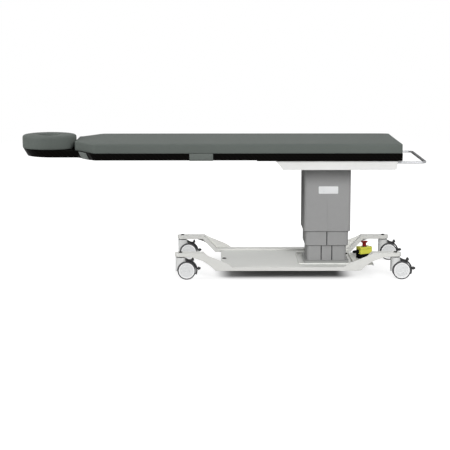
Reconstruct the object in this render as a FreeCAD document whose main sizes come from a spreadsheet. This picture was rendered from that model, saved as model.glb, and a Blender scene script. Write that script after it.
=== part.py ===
import FreeCAD, Part
import math
import os
import Sketcher

# Imaging table on a wheeled base: a cantilevered carbon-fibre top with pads, a white pan under it,
# a three-stage lifting column in telescoping shrouds, and a low base on four twin-wheel casters.
# Millimetres. +X runs from the head end to the foot end, +Z is up, and the origin is on the floor
# under the middle of the table. Near and far are the -Y and +Y sides.

Vector = FreeCAD.Vector
doc = FreeCAD.newDocument("radiography_table")
dim = doc.addObject("Spreadsheet::Sheet", "dim")

SIZES = [
    # casters
    ("wheel_diameter", 100, "caster wheel over its tyre"),
    ("wheel_width", 20, "one wheel of a twin pair"),
    ("wheel_gap", 18, "between the two wheels of a pair"),
    ("disc_thickness", 5, "wheel wall that closes the axle bore"),
    ("axle_diameter", 8, "wheel axle"),
    ("running_gap", 0.05, "radial clearance of a turning fit"),
    ("fit_gap", 0.05, "radial clearance of a fixed pin in its hole"),
    ("end_gap", 0.5, "axial play at the ends of axles and pins"),
    ("caster_trail", 34, "wheel axle behind the swivel axis"),
    ("turret_diameter", 54, "caster housing"),
    ("turret_bottom", 45, "lower end of the housing's nose"),
    ("arch_gap", 3, "between a wheel and its arch"),
    ("web_thickness", 14, "housing web between the wheels"),
    ("web_radius", 34, "web round the axle"),
    ("web_inset", 2, "web inside the housing's side"),
    ("web_foot_gap", 3, "web above the housing's lower end"),
    ("stem_diameter", 11, "swivel stem"),
    ("stem_depth", 24, "stem inside the housing"),
    ("stem_end_gap", 2, "under the stem in its bore"),
    ("collar_diameter", 46, "swivel collar under the arm"),
    ("collar_height", 5.5, "swivel collar"),
    ("swivel_gap", 0.5, "between collar and housing"),
    ("bolt_cap_diameter", 20, "cap over the stem on top of the arm"),
    ("bolt_cap_height", 5, "cap over the stem"),
    # brake pedals
    ("pedal_width", 13, "pedal arm between the wheels"),
    ("pedal_gap", 2, "between the pedal band and the wheel's radius"),
    ("pedal_thickness", 8, "pedal band"),
    ("pedal_low_angle", -25, "lower end of the band, from the axle"),
    ("pedal_high_angle", 78, "upper end of the band, from the axle"),
    ("pedal_pin_x", 18, "pedal pivot behind the swivel axis"),
    ("pedal_pin_drop", 10, "pedal pivot below the housing's top"),
    ("pedal_pin_diameter", 5, "pedal pivot"),
    ("pedal_arm_height", 12, "pedal arm at its pivot"),
    ("pedal_arm_tip", 5.4, "pedal arm where it meets the band"),
    ("pedal_tip_angle", 4, "arm's tip before the band's upper end"),
    ("pedal_slot_wall", 3, "between the stem's bore and the pedal's slot"),
    ("pedal_slot_gap", 1, "beside the pedal in the housing's slot"),
    ("pedal_slot_floor_gap", 3, "under the pedal in the housing's slot"),
    ("toe_width", 21, "pedal toes across the caster"),
    ("toe_thickness", 9, "pedal toes"),
    ("toe_neck", 4, "narrow neck between the band and a toe"),
    ("toe_length", 13, "pedal toes beyond their necks"),
    ("toe_up_offset", 31, "release toe behind the axle"),
    ("toe_side_offset", 9, "locking toe above the axle"),
    # side rails
    ("wheelbase", 1185.2, "between the swivel axes along the table"),
    ("caster_track", 574, "between the swivel axes across the table"),
    ("head_caster_x", -229.6, "swivel axes at the head end"),
    ("rail_width", 62, "side rail"),
    ("rail_thickness", 20, "side rail"),
    ("rail_bottom", 50, "ground clearance under the low run"),
    ("arm_bottom", 128, "underside of the arms over the casters"),
    ("arm_length", 126, "swivel axis to the bend of the arm"),
    ("slope_run", 75, "bend to low run, along the table"),
    ("skirt_thickness", 5, "gusset on the rail's outer side"),
    ("skirt_length", 160, "gusset inward of the bend"),
    ("skirt_fade", 70, "gusset outward of the bend"),
    ("skirt_depth", 24, "gusset below the arm at the bend"),
    ("brow_run", 26, "gusset's upper corner from the bend"),
    ("brow_drop", 14, "gusset's upper corner below the arm's top"),
    ("knee_run", 137, "gusset's lower corner from the bend"),
    ("knee_drop", 60, "gusset's lower corner below the arm's top"),
    ("gusset_radius", 60, "gusset's corners"),
    # base floor
    ("bar_thickness", 7, "cross bars and base plate"),
    ("bar_width", 60, "cross bars"),
    ("head_bar_x", 40, "head-end cross bar's first edge"),
    ("middle_bar_x", 220, "middle cross bar's first edge"),
    ("base_plate_length", 330, "base plate under the column"),
    ("tray_thickness", 3, "cover tray"),
    ("tray_head_x", -4.6, "tray's head end"),
    ("tray_foot_x", 730, "tray's foot end between the rails"),
    ("tongue_foot_x", 850, "end of the tray's tongue"),
    ("tongue_width", 374, "tray's tongue"),
    ("tray_corner", 12, "tray's corners"),
    ("tray_flange", 7, "turned-down edge of the tray"),
    ("seam_gap", 0.5, "open seam between covers"),
    ("well_head_x", 430, "well round the column foot, head side"),
    ("well_length", 311, "well round the column foot"),
    ("well_width", 350, "well round the column foot"),
    ("rim_width", 4, "raised rim round the well"),
    ("rim_height", 6, "raised rim above the tray"),
    ("plug_x", 14, "plug hole"),
    ("plug_hole_diameter", 18, "plug hole"),
    ("plug_head_diameter", 23, "plug"),
    ("plug_head_height", 4.5, "plug"),
    ("plug_depth", 9, "plug below the tray's top"),
    # lifting column
    ("column_x", 589.6, "column axis"),
    ("foot_plate_length", 250, "column foot plate"),
    ("foot_plate_width", 260, "column foot plate"),
    ("foot_plate_thickness", 14, "column foot plate"),
    ("upper_length", 263, "upper shroud along the table"),
    ("upper_width", 270, "upper shroud across the table"),
    ("shroud_wall", 5, "shrouds"),
    ("shroud_gap", 5.5, "between one shroud and the next"),
    ("shroud_corner", 20, "shrouds' outer corners"),
    ("upper_shroud_bottom", 240, "at rest"),
    ("middle_shroud_bottom", 158, "at rest"),
    ("middle_shroud_top", 500, "at rest"),
    ("lower_shroud_top", 420, "lower shroud"),
    ("groove_width", 6, "grooves down the shrouds"),
    ("groove_depth", 3.5, "grooves down the shrouds"),
    ("groove_spacing", 60, "two grooves of the lower shroud"),
    ("fine_groove_width", 2, "shallow groove of the upper shroud"),
    ("fine_groove_depth", 0.8, "shallow groove of the upper shroud"),
    ("tube_side", 150, "lower steel tube, across its flats"),
    ("tube_wall", 5, "steel tubes"),
    ("tube_gap", 2, "between one tube and the next"),
    ("lower_tube_top", 430, "lower tube"),
    ("middle_tube_bottom", 125, "at rest"),
    ("middle_tube_top", 520, "at rest"),
    ("upper_tube_bottom", 180, "at rest"),
    ("screw_diameter", 20, "lifting screw"),
    ("screw_bottom", 170, "at rest"),
    ("nut_tube_diameter", 50, "tube with the lifting nut"),
    ("nut_tube_bore", 26, "tube with the lifting nut"),
    ("nut_tube_top", 480, "tube with the lifting nut"),
    # pan under the top
    ("pan_bottom", 605, "at rest"),
    ("pan_height", 49.5, "pan"),
    ("pan_wall", 3, "pan"),
    ("pan_head_x", 292, "pan's head end at its open top"),
    ("pan_bevel", 41, "slope of the pan's head end"),
    ("pan_foot_x", 956, "pan's foot end"),
    ("pan_width", 584, "pan"),
    ("pan_corner", 14, "pan's lower foot corner"),
    ("head_plate_side", 240, "plate that joins the column to the pan"),
    ("head_plate_thickness", 10, "plate that joins the column to the pan"),
    ("screw_hole_diameter", 34, "hole for the lifting screw"),
    ("gearbox_side", 84, "lifting gearbox"),
    ("gearbox_height", 36, "lifting gearbox"),
    ("motor_diameter", 34, "lifting motor"),
    ("motor_length", 90, "lifting motor"),
    ("control_box_x", 800, "control box's first edge"),
    ("control_box_length", 120, "control box"),
    ("control_box_width", 200, "control box"),
    ("control_box_height", 34, "control box"),
    # carbon-fibre top
    ("carbon_thickness", 37.5, "top"),
    ("carbon_head_x", -1117, "top's head end"),
    ("carbon_foot_x", 982, "top's foot end"),
    ("carbon_width", 626, "top"),
    ("carbon_head_width", 330, "narrow head platform"),
    ("carbon_head_flat", 2, "straight part of the round head end"),
    ("carbon_bevel", 22, "sloped underside of the head platform"),
    ("carbon_under_inset", 5, "underside inside the top face"),
    ("mount_thickness", 5, "thicker part of the top that lies on the pan"),
    ("mount_head_x", 190, "head end of that part"),
    ("mount_width", 604, "that part across the table"),
    ("shoulder_x", -815, "shoulder's inner corner"),
    ("shoulder_run", 100, "shoulder along the table"),
    ("shoulder_radius", 30, "shoulder's corners"),
    ("shoulder_under_run", 20, "shoulder's lower edge behind its upper one"),
    # pads
    ("pad_thickness", 52, "main pad"),
    ("pad_overhang", 3, "main pad past the top's long sides"),
    ("pad_head_x", -817.5, "main pad's head end"),
    ("pad_head_width", 312, "main pad's head end"),
    ("pad_neck", 18, "straight part of the pad's head end"),
    ("pad_edge_radius", 8, "pad's top edges"),
    ("pad_corner_radius", 10, "pad's corners in plan"),
    ("ring_diameter", 306, "head cushion ring"),
    ("ring_hole", 104, "head cushion ring"),
    ("ring_height", 77, "head cushion ring"),
    ("ring_outer_bevel", 12, "ring's upper outer edge"),
    ("ring_inner_bevel", 10, "ring's upper inner edge"),
    ("cushion_gap", 0.5, "between ring and pad"),
    ("strap_thickness", 3, "hook-and-loop straps"),
    ("strap_width", 128, "side straps"),
    ("side_strap_x", -113.5, "side straps' middle"),
    ("strap_return", 42, "straps under the top"),
    ("corner_strap_width", 84, "straps on the shoulders"),
    # handle
    ("handle_inset", 16, "handle's arms inside the pan's sides"),
    ("handle_rod", 12, "handle"),
    ("handle_reach", 158, "crossbar from the pan's foot end"),
    ("handle_drop", 10.5, "handle below the pan's open top"),
    ("handle_insert", 32, "handle inside the pan"),
    ("handle_bend", 25, "handle's corners"),
    ("grip_diameter", 16, "grip sleeve"),
    ("grip_end", 34, "end of the grip sleeve inside the handle's arm"),
    ("bush_diameter", 18, "handle bushes"),
    ("bush_thickness", 5, "handle bushes"),
    # emergency stop
    ("stop_x", 817, "emergency stop"),
    ("stop_y", 20, "emergency stop"),
    ("stop_turn", 25, "emergency stop turned from the table's axis"),
    ("stop_base_length", 86, "black base"),
    ("stop_base_width", 62, "black base"),
    ("stop_base_height", 26, "black base"),
    ("stop_box_length", 80, "yellow box"),
    ("stop_box_width", 55, "yellow box"),
    ("stop_box_height", 40, "yellow box"),
    ("stop_box_corner", 8, "yellow box"),
    ("stop_hole_gap", 0.3, "round the button's stem"),
    ("stop_stem_diameter", 22, "button's stem"),
    ("stop_stem_inside", 10, "stem inside the box at rest"),
    ("stop_travel", 5, "button's travel"),
    ("stop_stem_height", 17, "stem above the box at rest"),
    ("stop_cap_diameter", 40, "mushroom cap"),
    ("stop_cap_height", 15, "mushroom cap"),
    ("stop_cap_rim", 5, "mushroom cap's edge"),
    ("stop_spigot_diameter", 10, "stem's spigot inside the cap"),
    ("stop_spigot_length", 8, "stem's spigot inside the cap"),
    ("gland_nut", 18, "cable gland's nut"),
    ("gland_length", 34, "cable gland"),
    ("gland_width", 22, "cable gland's hexagonal collar"),
    ("gland_collar", 8, "cable gland's collar"),
    ("gland_height", 13, "cable gland above the black base"),
    ("foot_gland_width", 13, "hexagonal collar of the gland at the column foot"),
    ("foot_gland_collar", 7, "that collar's length"),
    ("foot_gland_nut", 10, "nut of the gland at the column foot"),
    ("foot_gland_length", 20, "cable gland at the column foot"),
    ("foot_gland_y", 15, "cable gland at the column foot"),
    ("foot_gland_height", 14, "cable gland above the foot plate"),
]

for row, (alias, value, note) in enumerate(SIZES, start=1):
    dim.set(f"A{row}", note)
    dim.set(f"B{row}", str(value))
    dim.setAlias(f"B{row}", alias)
doc.recompute()

# Levels and lines that several pieces share, as expressions over the sheet.
WHEEL_R = "dim.wheel_diameter / 2"
ARM_TOP = "(dim.arm_bottom + dim.rail_thickness)"
RAIL_TOP = "(dim.rail_bottom + dim.rail_thickness)"
RAIL_OUTER = "(dim.caster_track / 2 + dim.rail_width / 2)"
RAIL_INNER = "(dim.caster_track / 2 - dim.rail_width / 2)"
FOOT_CASTER_X = "(dim.head_caster_x + dim.wheelbase)"
TURRET_TOP = "(dim.arm_bottom - dim.collar_height - dim.swivel_gap)"
TRAY_BOTTOM = "(dim.rail_bottom + dim.bar_thickness)"
TRAY_TOP = f"({TRAY_BOTTOM} + dim.tray_thickness)"
WELL_X = "(dim.well_head_x + dim.well_length / 2)"
FOOT_PLATE_TOP = f"({TRAY_BOTTOM} + dim.foot_plate_thickness)"
STEP = "(2 * dim.shroud_wall + 2 * dim.shroud_gap)"
TUBE_STEP = "(2 * dim.tube_wall + 2 * dim.tube_gap)"
PAN_FLOOR = "(dim.pan_bottom + dim.pan_wall)"
PLATE_TOP = f"({PAN_FLOOR} + dim.head_plate_thickness)"
PAN_TOP = "(dim.pan_bottom + dim.pan_height)"
CARBON_BOTTOM = f"({PAN_TOP} + dim.mount_thickness)"
CARBON_TOP = f"({CARBON_BOTTOM} + dim.carbon_thickness)"
HANDLE_Y = "(dim.pan_width / 2 - dim.handle_inset)"
HANDLE_Z = f"({PAN_TOP} - dim.handle_drop)"
CROSSBAR_X = "(dim.pan_foot_x + dim.handle_reach)"
BAND_MIDDLE = f"({WHEEL_R} + dim.pedal_gap + dim.pedal_thickness / 2)"
PIN_Z = f"({TURRET_TOP} - dim.pedal_pin_drop)"
BOX_BOTTOM = f"({TRAY_TOP} + dim.stop_base_height)"
BOX_TOP = f"({BOX_BOTTOM} + dim.stop_box_height)"
STEM_TOP = f"({BOX_TOP} + dim.stop_stem_height)"
NODES = []


def size(expression):
    """Value of an expression over the sheet."""
    return float(dim.evalExpression(expression))


# ---- sketches

def new_body(label, keep=True):
    body = doc.addObject("PartDesign::Body", label)
    if keep:
        NODES.append(body)
    return body


def sketch_on(body, plane, lift=None):
    """Sketch on the body's own XY, XZ or YZ plane, moved along the plane's normal by lift."""
    sketch = body.newObject("Sketcher::SketchObject", f"{body.Name}_sketch")
    origin = [f for f in body.Origin.OriginFeatures if f.Role == plane + "_Plane"][0]
    sketch.AttachmentSupport = (origin, [""])
    sketch.MapMode = "FlatFace"
    if lift:
        sketch.setExpression("AttachmentOffset.Base.z", lift)
    return sketch


def bind(sketch, constraint, expression):
    index = sketch.addConstraint(constraint)
    sketch.setExpression(f"Constraints[{index}]", expression)


def locate(sketch, geometry, point, x, y):
    """Tie a point of a sketch to the expressions x and y."""
    bind(sketch, Sketcher.Constraint("DistanceX", -1, 1, geometry, point, size(x)), x)
    bind(sketch, Sketcher.Constraint("DistanceY", -1, 1, geometry, point, size(y)), y)


def outline(sketch, corners):
    """Closed outline through corners (x, y) or (x, y, radius), each an expression."""
    points = [Vector(size(c[0]), size(c[1]), 0) for c in corners]
    count = len(points)
    enter, leave, centres, radii = [], [], [], []
    for i, corner in enumerate(corners):
        to_last = (points[i - 1] - points[i]).normalize()
        to_next = (points[(i + 1) % count] - points[i]).normalize()
        radius = size(corner[2]) if len(corner) > 2 else 0
        half = to_last.getAngle(to_next) / 2
        enter.append(points[i] + to_last * (radius / math.tan(half)))
        leave.append(points[i] + to_next * (radius / math.tan(half)))
        middle = (to_last + to_next).normalize() if radius else Vector()
        centres.append(points[i] + middle * (radius / math.sin(half)))
        radii.append(radius)
    lines = []
    for i in range(count):
        lines.append(sketch.addGeometry(Part.LineSegment(leave[i], enter[(i + 1) % count]), False))
    for i, corner in enumerate(corners):
        last, following = lines[i - 1], lines[i]
        if radii[i]:
            start, end = enter[i] - centres[i], leave[i] - centres[i]
            left = start.cross(end).z > 0
            angles = [math.atan2(start.y, start.x), math.atan2(end.y, end.x)]
            if not left:
                angles.reverse()
            circle = Part.Circle(centres[i], Vector(0, 0, 1), radii[i])
            arc = sketch.addGeometry(Part.ArcOfCircle(circle, *angles), False)
            first, second = (1, 2) if left else (2, 1)
            sketch.addConstraint(Sketcher.Constraint("Tangent", last, 2, arc, first))
            sketch.addConstraint(Sketcher.Constraint("Tangent", arc, second, following, 1))
            bind(sketch, Sketcher.Constraint("Radius", arc, radii[i]), corner[2])
            apex = sketch.addGeometry(Part.Point(points[i]), True)
            sketch.addConstraint(Sketcher.Constraint("PointOnObject", apex, 1, last))
            sketch.addConstraint(Sketcher.Constraint("PointOnObject", apex, 1, following))
            locate(sketch, apex, 1, corner[0], corner[1])
        else:
            sketch.addConstraint(Sketcher.Constraint("Coincident", last, 2, following, 1))
            locate(sketch, following, 1, corner[0], corner[1])


def rectangle(sketch, x0, x1, y0, y1, radius=None):
    extra = (radius,) if radius else ()
    outline(sketch, [(x, y) + extra for x, y in ((x0, y0), (x1, y0), (x1, y1), (x0, y1))])


def centred(sketch, x, y, length, width, radius=None):
    """Rectangle about a middle point."""
    rectangle(sketch, f"{x} - {length} / 2", f"{x} + {length} / 2",
              f"{y} - {width} / 2", f"{y} + {width} / 2", radius)


def circle(sketch, x, y, diameter):
    shape = Part.Circle(Vector(size(x), size(y), 0), Vector(0, 0, 1), size(diameter) / 2)
    index = sketch.addGeometry(shape, False)
    locate(sketch, index, 3, x, y)
    bind(sketch, Sketcher.Constraint("Diameter", index, size(diameter)), diameter)


def slot(sketch, x0, x1, y, width):
    """Round-ended outline whose end arcs are centred on x0 and x1."""
    radius = size(width) / 2
    ends = []
    for x, turn in ((x0, 90), (x1, -90)):
        round_end = Part.Circle(Vector(size(x), size(y), 0), Vector(0, 0, 1), radius)
        arc = Part.ArcOfCircle(round_end, math.radians(turn), math.radians(turn + 180))
        ends.append(sketch.addGeometry(arc, False))
    for first, second in ((0, 1), (1, 0)):
        side = -radius if first == 0 else radius
        start = Vector(size((x0, x1)[first]), size(y) + side, 0)
        end = Vector(size((x0, x1)[second]), size(y) + side, 0)
        line = sketch.addGeometry(Part.LineSegment(start, end), False)
        sketch.addConstraint(Sketcher.Constraint("Tangent", ends[first], 2, line, 1))
        sketch.addConstraint(Sketcher.Constraint("Tangent", line, 2, ends[second], 1))
    for index, x in zip(ends, (x0, x1)):
        locate(sketch, index, 3, x, y)
        bind(sketch, Sketcher.Constraint("Radius", index, radius), f"{width} / 2")


def sector(sketch, x, y, inner, outer, low, high):
    """Arched band about (x, y) between two radii and two angles."""
    centre = Vector(size(x), size(y), 0)
    angles = [math.radians(size(low)), math.radians(size(high))]
    arcs = []
    for radius in (inner, outer):
        ring = Part.Circle(centre, Vector(0, 0, 1), size(radius))
        arcs.append(sketch.addGeometry(Part.ArcOfCircle(ring, *angles), False))
        locate(sketch, arcs[-1], 3, x, y)
        bind(sketch, Sketcher.Constraint("Radius", arcs[-1], size(radius)), radius)
    for point, angle, value in ((1, low, angles[0]), (2, high, angles[1])):
        ray = Vector(math.cos(value), math.sin(value), 0)
        end = Part.LineSegment(centre + ray * size(inner), centre + ray * size(outer))
        line = sketch.addGeometry(end, False)
        sketch.addConstraint(Sketcher.Constraint("Coincident", line, 1, arcs[0], point))
        sketch.addConstraint(Sketcher.Constraint("Coincident", line, 2, arcs[1], point))
        sketch.addConstraint(Sketcher.Constraint("PointOnObject", arcs[0], 3, line))
        bind(sketch, Sketcher.Constraint("Angle", line, value), angle)


# ---- features

def pad(body, sketch, length, middle=False, reverse=False):
    feature = body.newObject("PartDesign::Pad", f"{body.Name}_pad")
    feature.Profile = sketch
    feature.setExpression("Length", length)
    feature.Midplane = middle
    feature.Reversed = reverse
    return feature


def pocket(body, sketch, length, middle=False, reverse=False):
    """Cut a sketch out of the body, and stop if nothing was cut."""
    doc.recompute()
    before = body.Shape.Volume
    feature = body.newObject("PartDesign::Pocket", f"{body.Name}_pocket")
    feature.Profile = sketch
    feature.setExpression("Length", length)
    feature.Midplane = middle
    feature.Reversed = reverse
    doc.recompute()
    if not body.Shape.Volume < before - 1e-3:
        raise RuntimeError(f"{feature.Name} cuts nothing")
    return feature


def revolve(body, sketch, axis="V_Axis"):
    feature = body.newObject("PartDesign::Revolution", f"{body.Name}_revolution")
    feature.Profile = sketch
    feature.ReferenceAxis = (sketch, [axis])
    feature.Angle = 360
    return feature


def dress(body, kind, amount, pick):
    """Fillet or chamfer the edges of the body's tip that pick() chooses."""
    doc.recompute()
    base = body.Tip
    edges = [f"Edge{i}" for i, edge in enumerate(base.Shape.Edges, start=1) if pick(edge)]
    if not edges:
        raise RuntimeError(f"{body.Label} has no such edge")
    feature = body.newObject(f"PartDesign::{kind}", f"{body.Name}_{kind.lower()}")
    feature.Base = (base, edges)
    feature.setExpression("Radius" if kind == "Fillet" else "Size", amount)
    return feature


def lies_at(edge, z):
    """True if every point of the edge is at height z."""
    return abs(edge.BoundBox.ZMin - size(z)) < 0.01 and abs(edge.BoundBox.ZMax - size(z)) < 0.01


def place(body, x="0", y="0", z="0", turn=0):
    body.Placement = FreeCAD.Placement(Vector(), FreeCAD.Rotation(Vector(0, 0, 1), turn))
    for axis, expression in (("x", x), ("y", y), ("z", z)):
        if expression != "0":
            body.setExpression(f"Placement.Base.{axis}", expression)


def group(label, bodies):
    """One node of several equal, separate solids."""
    compound = doc.addObject("Part::Compound", label)
    compound.Links = bodies
    NODES.append(compound)


# ---- base

def side_rail(label, side):
    """Flat bar bent up into an arm over each caster, with a gusset on its outer side."""
    body = new_body(label)
    head_bend = "(dim.head_caster_x + dim.arm_length)"
    foot_bend = f"({FOOT_CASTER_X} - dim.arm_length)"
    # a bend of constant thickness moves the lower line outward by this much
    drop = "(dim.arm_bottom - dim.rail_bottom)"
    miter = f"(dim.rail_thickness * tan(atan2({drop}; dim.slope_run) / 2))"
    overrun = "dim.rail_width"
    bar = [
        (f"dim.head_caster_x - {overrun}", "dim.arm_bottom"),
        (f"{head_bend} - {miter}", "dim.arm_bottom"),
        (f"{head_bend} + dim.slope_run - {miter}", "dim.rail_bottom"),
        (f"{foot_bend} - dim.slope_run + {miter}", "dim.rail_bottom"),
        (f"{foot_bend} + {miter}", "dim.arm_bottom"),
        (f"{FOOT_CASTER_X} + {overrun}", "dim.arm_bottom"),
        (f"{FOOT_CASTER_X} + {overrun}", ARM_TOP),
        (foot_bend, ARM_TOP),
        (f"{foot_bend} - dim.slope_run", RAIL_TOP),
        (f"{head_bend} + dim.slope_run", RAIL_TOP),
        (head_bend, ARM_TOP),
        (f"dim.head_caster_x - {overrun}", ARM_TOP),
    ]
    near = side < 0
    profile = sketch_on(body, "XZ", RAIL_INNER if near else f"-{RAIL_OUTER}")
    outline(profile, bar)
    pad(body, profile, "dim.rail_width")

    outer_face = f"{RAIL_OUTER} - dim.skirt_thickness" if near else f"-{RAIL_OUTER}"
    for bend, inward in ((head_bend, "+"), (foot_bend, "-")):
        outward = "-" if inward == "+" else "+"
        gusset = sketch_on(body, "XZ", outer_face)
        outline(gusset, [
            (f"{bend} {outward} dim.skirt_fade", "dim.arm_bottom"),
            (f"{bend} {outward} dim.skirt_fade", "dim.arm_bottom + dim.rail_thickness / 2"),
            (bend, ARM_TOP),
            (f"{bend} {inward} dim.brow_run", f"{ARM_TOP} - dim.brow_drop", "dim.gusset_radius"),
            (f"{bend} {inward} dim.knee_run", f"{ARM_TOP} - dim.knee_drop", "dim.gusset_radius"),
            (f"{bend} {inward} dim.skirt_length", RAIL_TOP),
            (f"{bend} {inward} dim.skirt_length", "dim.rail_bottom + dim.rail_thickness / 2"),
            (f"{bend} {inward} dim.slope_run", "dim.rail_bottom"),
            (bend, "dim.arm_bottom - dim.skirt_depth", "dim.gusset_radius"),
        ])
        pad(body, gusset, "dim.skirt_thickness")

    # round both arm ends about the caster axes
    centre = "-dim.caster_track / 2" if near else "dim.caster_track / 2"
    ends = sketch_on(body, "XY", f"{ARM_TOP} + dim.rail_thickness")
    centred(ends, "dim.head_caster_x + dim.wheelbase / 2", centre,
            f"(dim.wheelbase + 4 * {overrun})", "2 * dim.rail_width")
    slot(ends, "dim.head_caster_x", FOOT_CASTER_X, centre, "dim.rail_width")
    pocket(body, ends, f"2 * {ARM_TOP}")

    holes = sketch_on(body, "XY", f"{ARM_TOP} + dim.rail_thickness")
    for x in ("dim.head_caster_x", FOOT_CASTER_X):
        circle(holes, x, centre, "dim.stem_diameter + 2 * dim.fit_gap")
    pocket(body, holes, f"2 * {ARM_TOP}")


def cross_bar(label, first_edge):
    body = new_body(label)
    plan = sketch_on(body, "XY", "dim.rail_bottom")
    rectangle(plan, first_edge, f"{first_edge} + dim.bar_width", f"-{RAIL_INNER}", RAIL_INNER)
    pad(body, plan, "dim.bar_thickness")


def base_plate():
    body = new_body("base_plate")
    plan = sketch_on(body, "XY", "dim.rail_bottom")
    centred(plan, WELL_X, "0", "dim.base_plate_length", f"2 * {RAIL_INNER}")
    pad(body, plan, "dim.bar_thickness")


def base_tray():
    """Cover between the rails, with a tongue, a rimmed well and turned-down ends."""
    body = new_body("base_tray")
    half = f"({RAIL_INNER} - dim.seam_gap)"
    tongue = "dim.tongue_width / 2"
    plan = sketch_on(body, "XY", TRAY_BOTTOM)
    outline(plan, [
        ("dim.tray_head_x", f"-{half}"),
        ("dim.tray_foot_x", f"-{half}", "dim.tray_corner"),
        ("dim.tray_foot_x", f"-{tongue}", "dim.tray_corner"),
        ("dim.tongue_foot_x", f"-{tongue}", "dim.tray_corner"),
        ("dim.tongue_foot_x", tongue, "dim.tray_corner"),
        ("dim.tray_foot_x", tongue, "dim.tray_corner"),
        ("dim.tray_foot_x", half, "dim.tray_corner"),
        ("dim.tray_head_x", half),
    ])
    pad(body, plan, "dim.tray_thickness")

    rim = sketch_on(body, "XY", TRAY_BOTTOM)
    centred(rim, WELL_X, "0", "dim.well_length", "dim.well_width", "dim.tray_corner")
    pad(body, rim, "dim.tray_thickness + dim.rim_height")
    well = sketch_on(body, "XY", f"{TRAY_TOP} + 2 * dim.rim_height")
    centred(well, WELL_X, "0", "(dim.well_length - 2 * dim.rim_width)",
            "(dim.well_width - 2 * dim.rim_width)", "dim.tray_corner - dim.rim_width")
    pocket(body, well, "dim.tray_thickness + 3 * dim.rim_height")

    for first, inward, width in (("dim.tray_head_x", "+", f"2 * {half}"),
                                 ("dim.tongue_foot_x", "-", "(dim.tongue_width - 2 * dim.tray_corner)")):
        flange = sketch_on(body, "XY", f"{TRAY_BOTTOM} - dim.tray_flange")
        edges = [first, f"{first} {inward} dim.tray_thickness"]
        if inward == "-":
            edges.reverse()
        rectangle(flange, *edges, f"-{width} / 2", f"{width} / 2")
        pad(body, flange, "dim.tray_flange")

    hole = sketch_on(body, "XY", f"{TRAY_TOP} + dim.tray_thickness")
    circle(hole, "dim.plug_x", "0", "dim.plug_hole_diameter")
    pocket(body, hole, "3 * dim.tray_thickness")


def tray_plug():
    body = new_body("tray_plug")
    stem = sketch_on(body, "XY", f"{TRAY_TOP} - dim.plug_depth")
    circle(stem, "dim.plug_x", "0", "dim.plug_hole_diameter - 2 * dim.fit_gap")
    pad(body, stem, "dim.plug_depth")
    head = sketch_on(body, "XY", TRAY_TOP)
    circle(head, "dim.plug_x", "0", "dim.plug_head_diameter")
    pad(body, head, "dim.plug_head_height")


# ---- casters

CASTERS = [
    ("caster_head_near", "dim.head_caster_x", "-dim.caster_track / 2"),
    ("caster_head_far", "dim.head_caster_x", "dim.caster_track / 2"),
    ("caster_foot_near", FOOT_CASTER_X, "-dim.caster_track / 2"),
    ("caster_foot_far", FOOT_CASTER_X, "dim.caster_track / 2"),
]


def caster_stem(x, y):
    """Swivel stem, fixed in the arm."""
    body = new_body("caster_stem", keep=False)
    stem = sketch_on(body, "XY", f"{TURRET_TOP} - dim.stem_depth")
    circle(stem, "0", "0", "dim.stem_diameter")
    pad(body, stem, f"{ARM_TOP} - {TURRET_TOP} + dim.stem_depth")
    place(body, x, y)
    return body


def caster_collar(x, y):
    body = new_body("caster_collar", keep=False)
    collar = sketch_on(body, "XY", "dim.arm_bottom - dim.collar_height")
    circle(collar, "0", "0", "dim.collar_diameter")
    circle(collar, "0", "0", "dim.stem_diameter + 2 * dim.fit_gap")
    pad(body, collar, "dim.collar_height")
    place(body, x, y)
    return body


def bolt_cap(x, y):
    body = new_body("bolt_cap", keep=False)
    cap = sketch_on(body, "XY", ARM_TOP)
    circle(cap, "0", "0", "dim.bolt_cap_diameter")
    pad(body, cap, "dim.bolt_cap_height")
    place(body, x, y)
    return body


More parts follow.
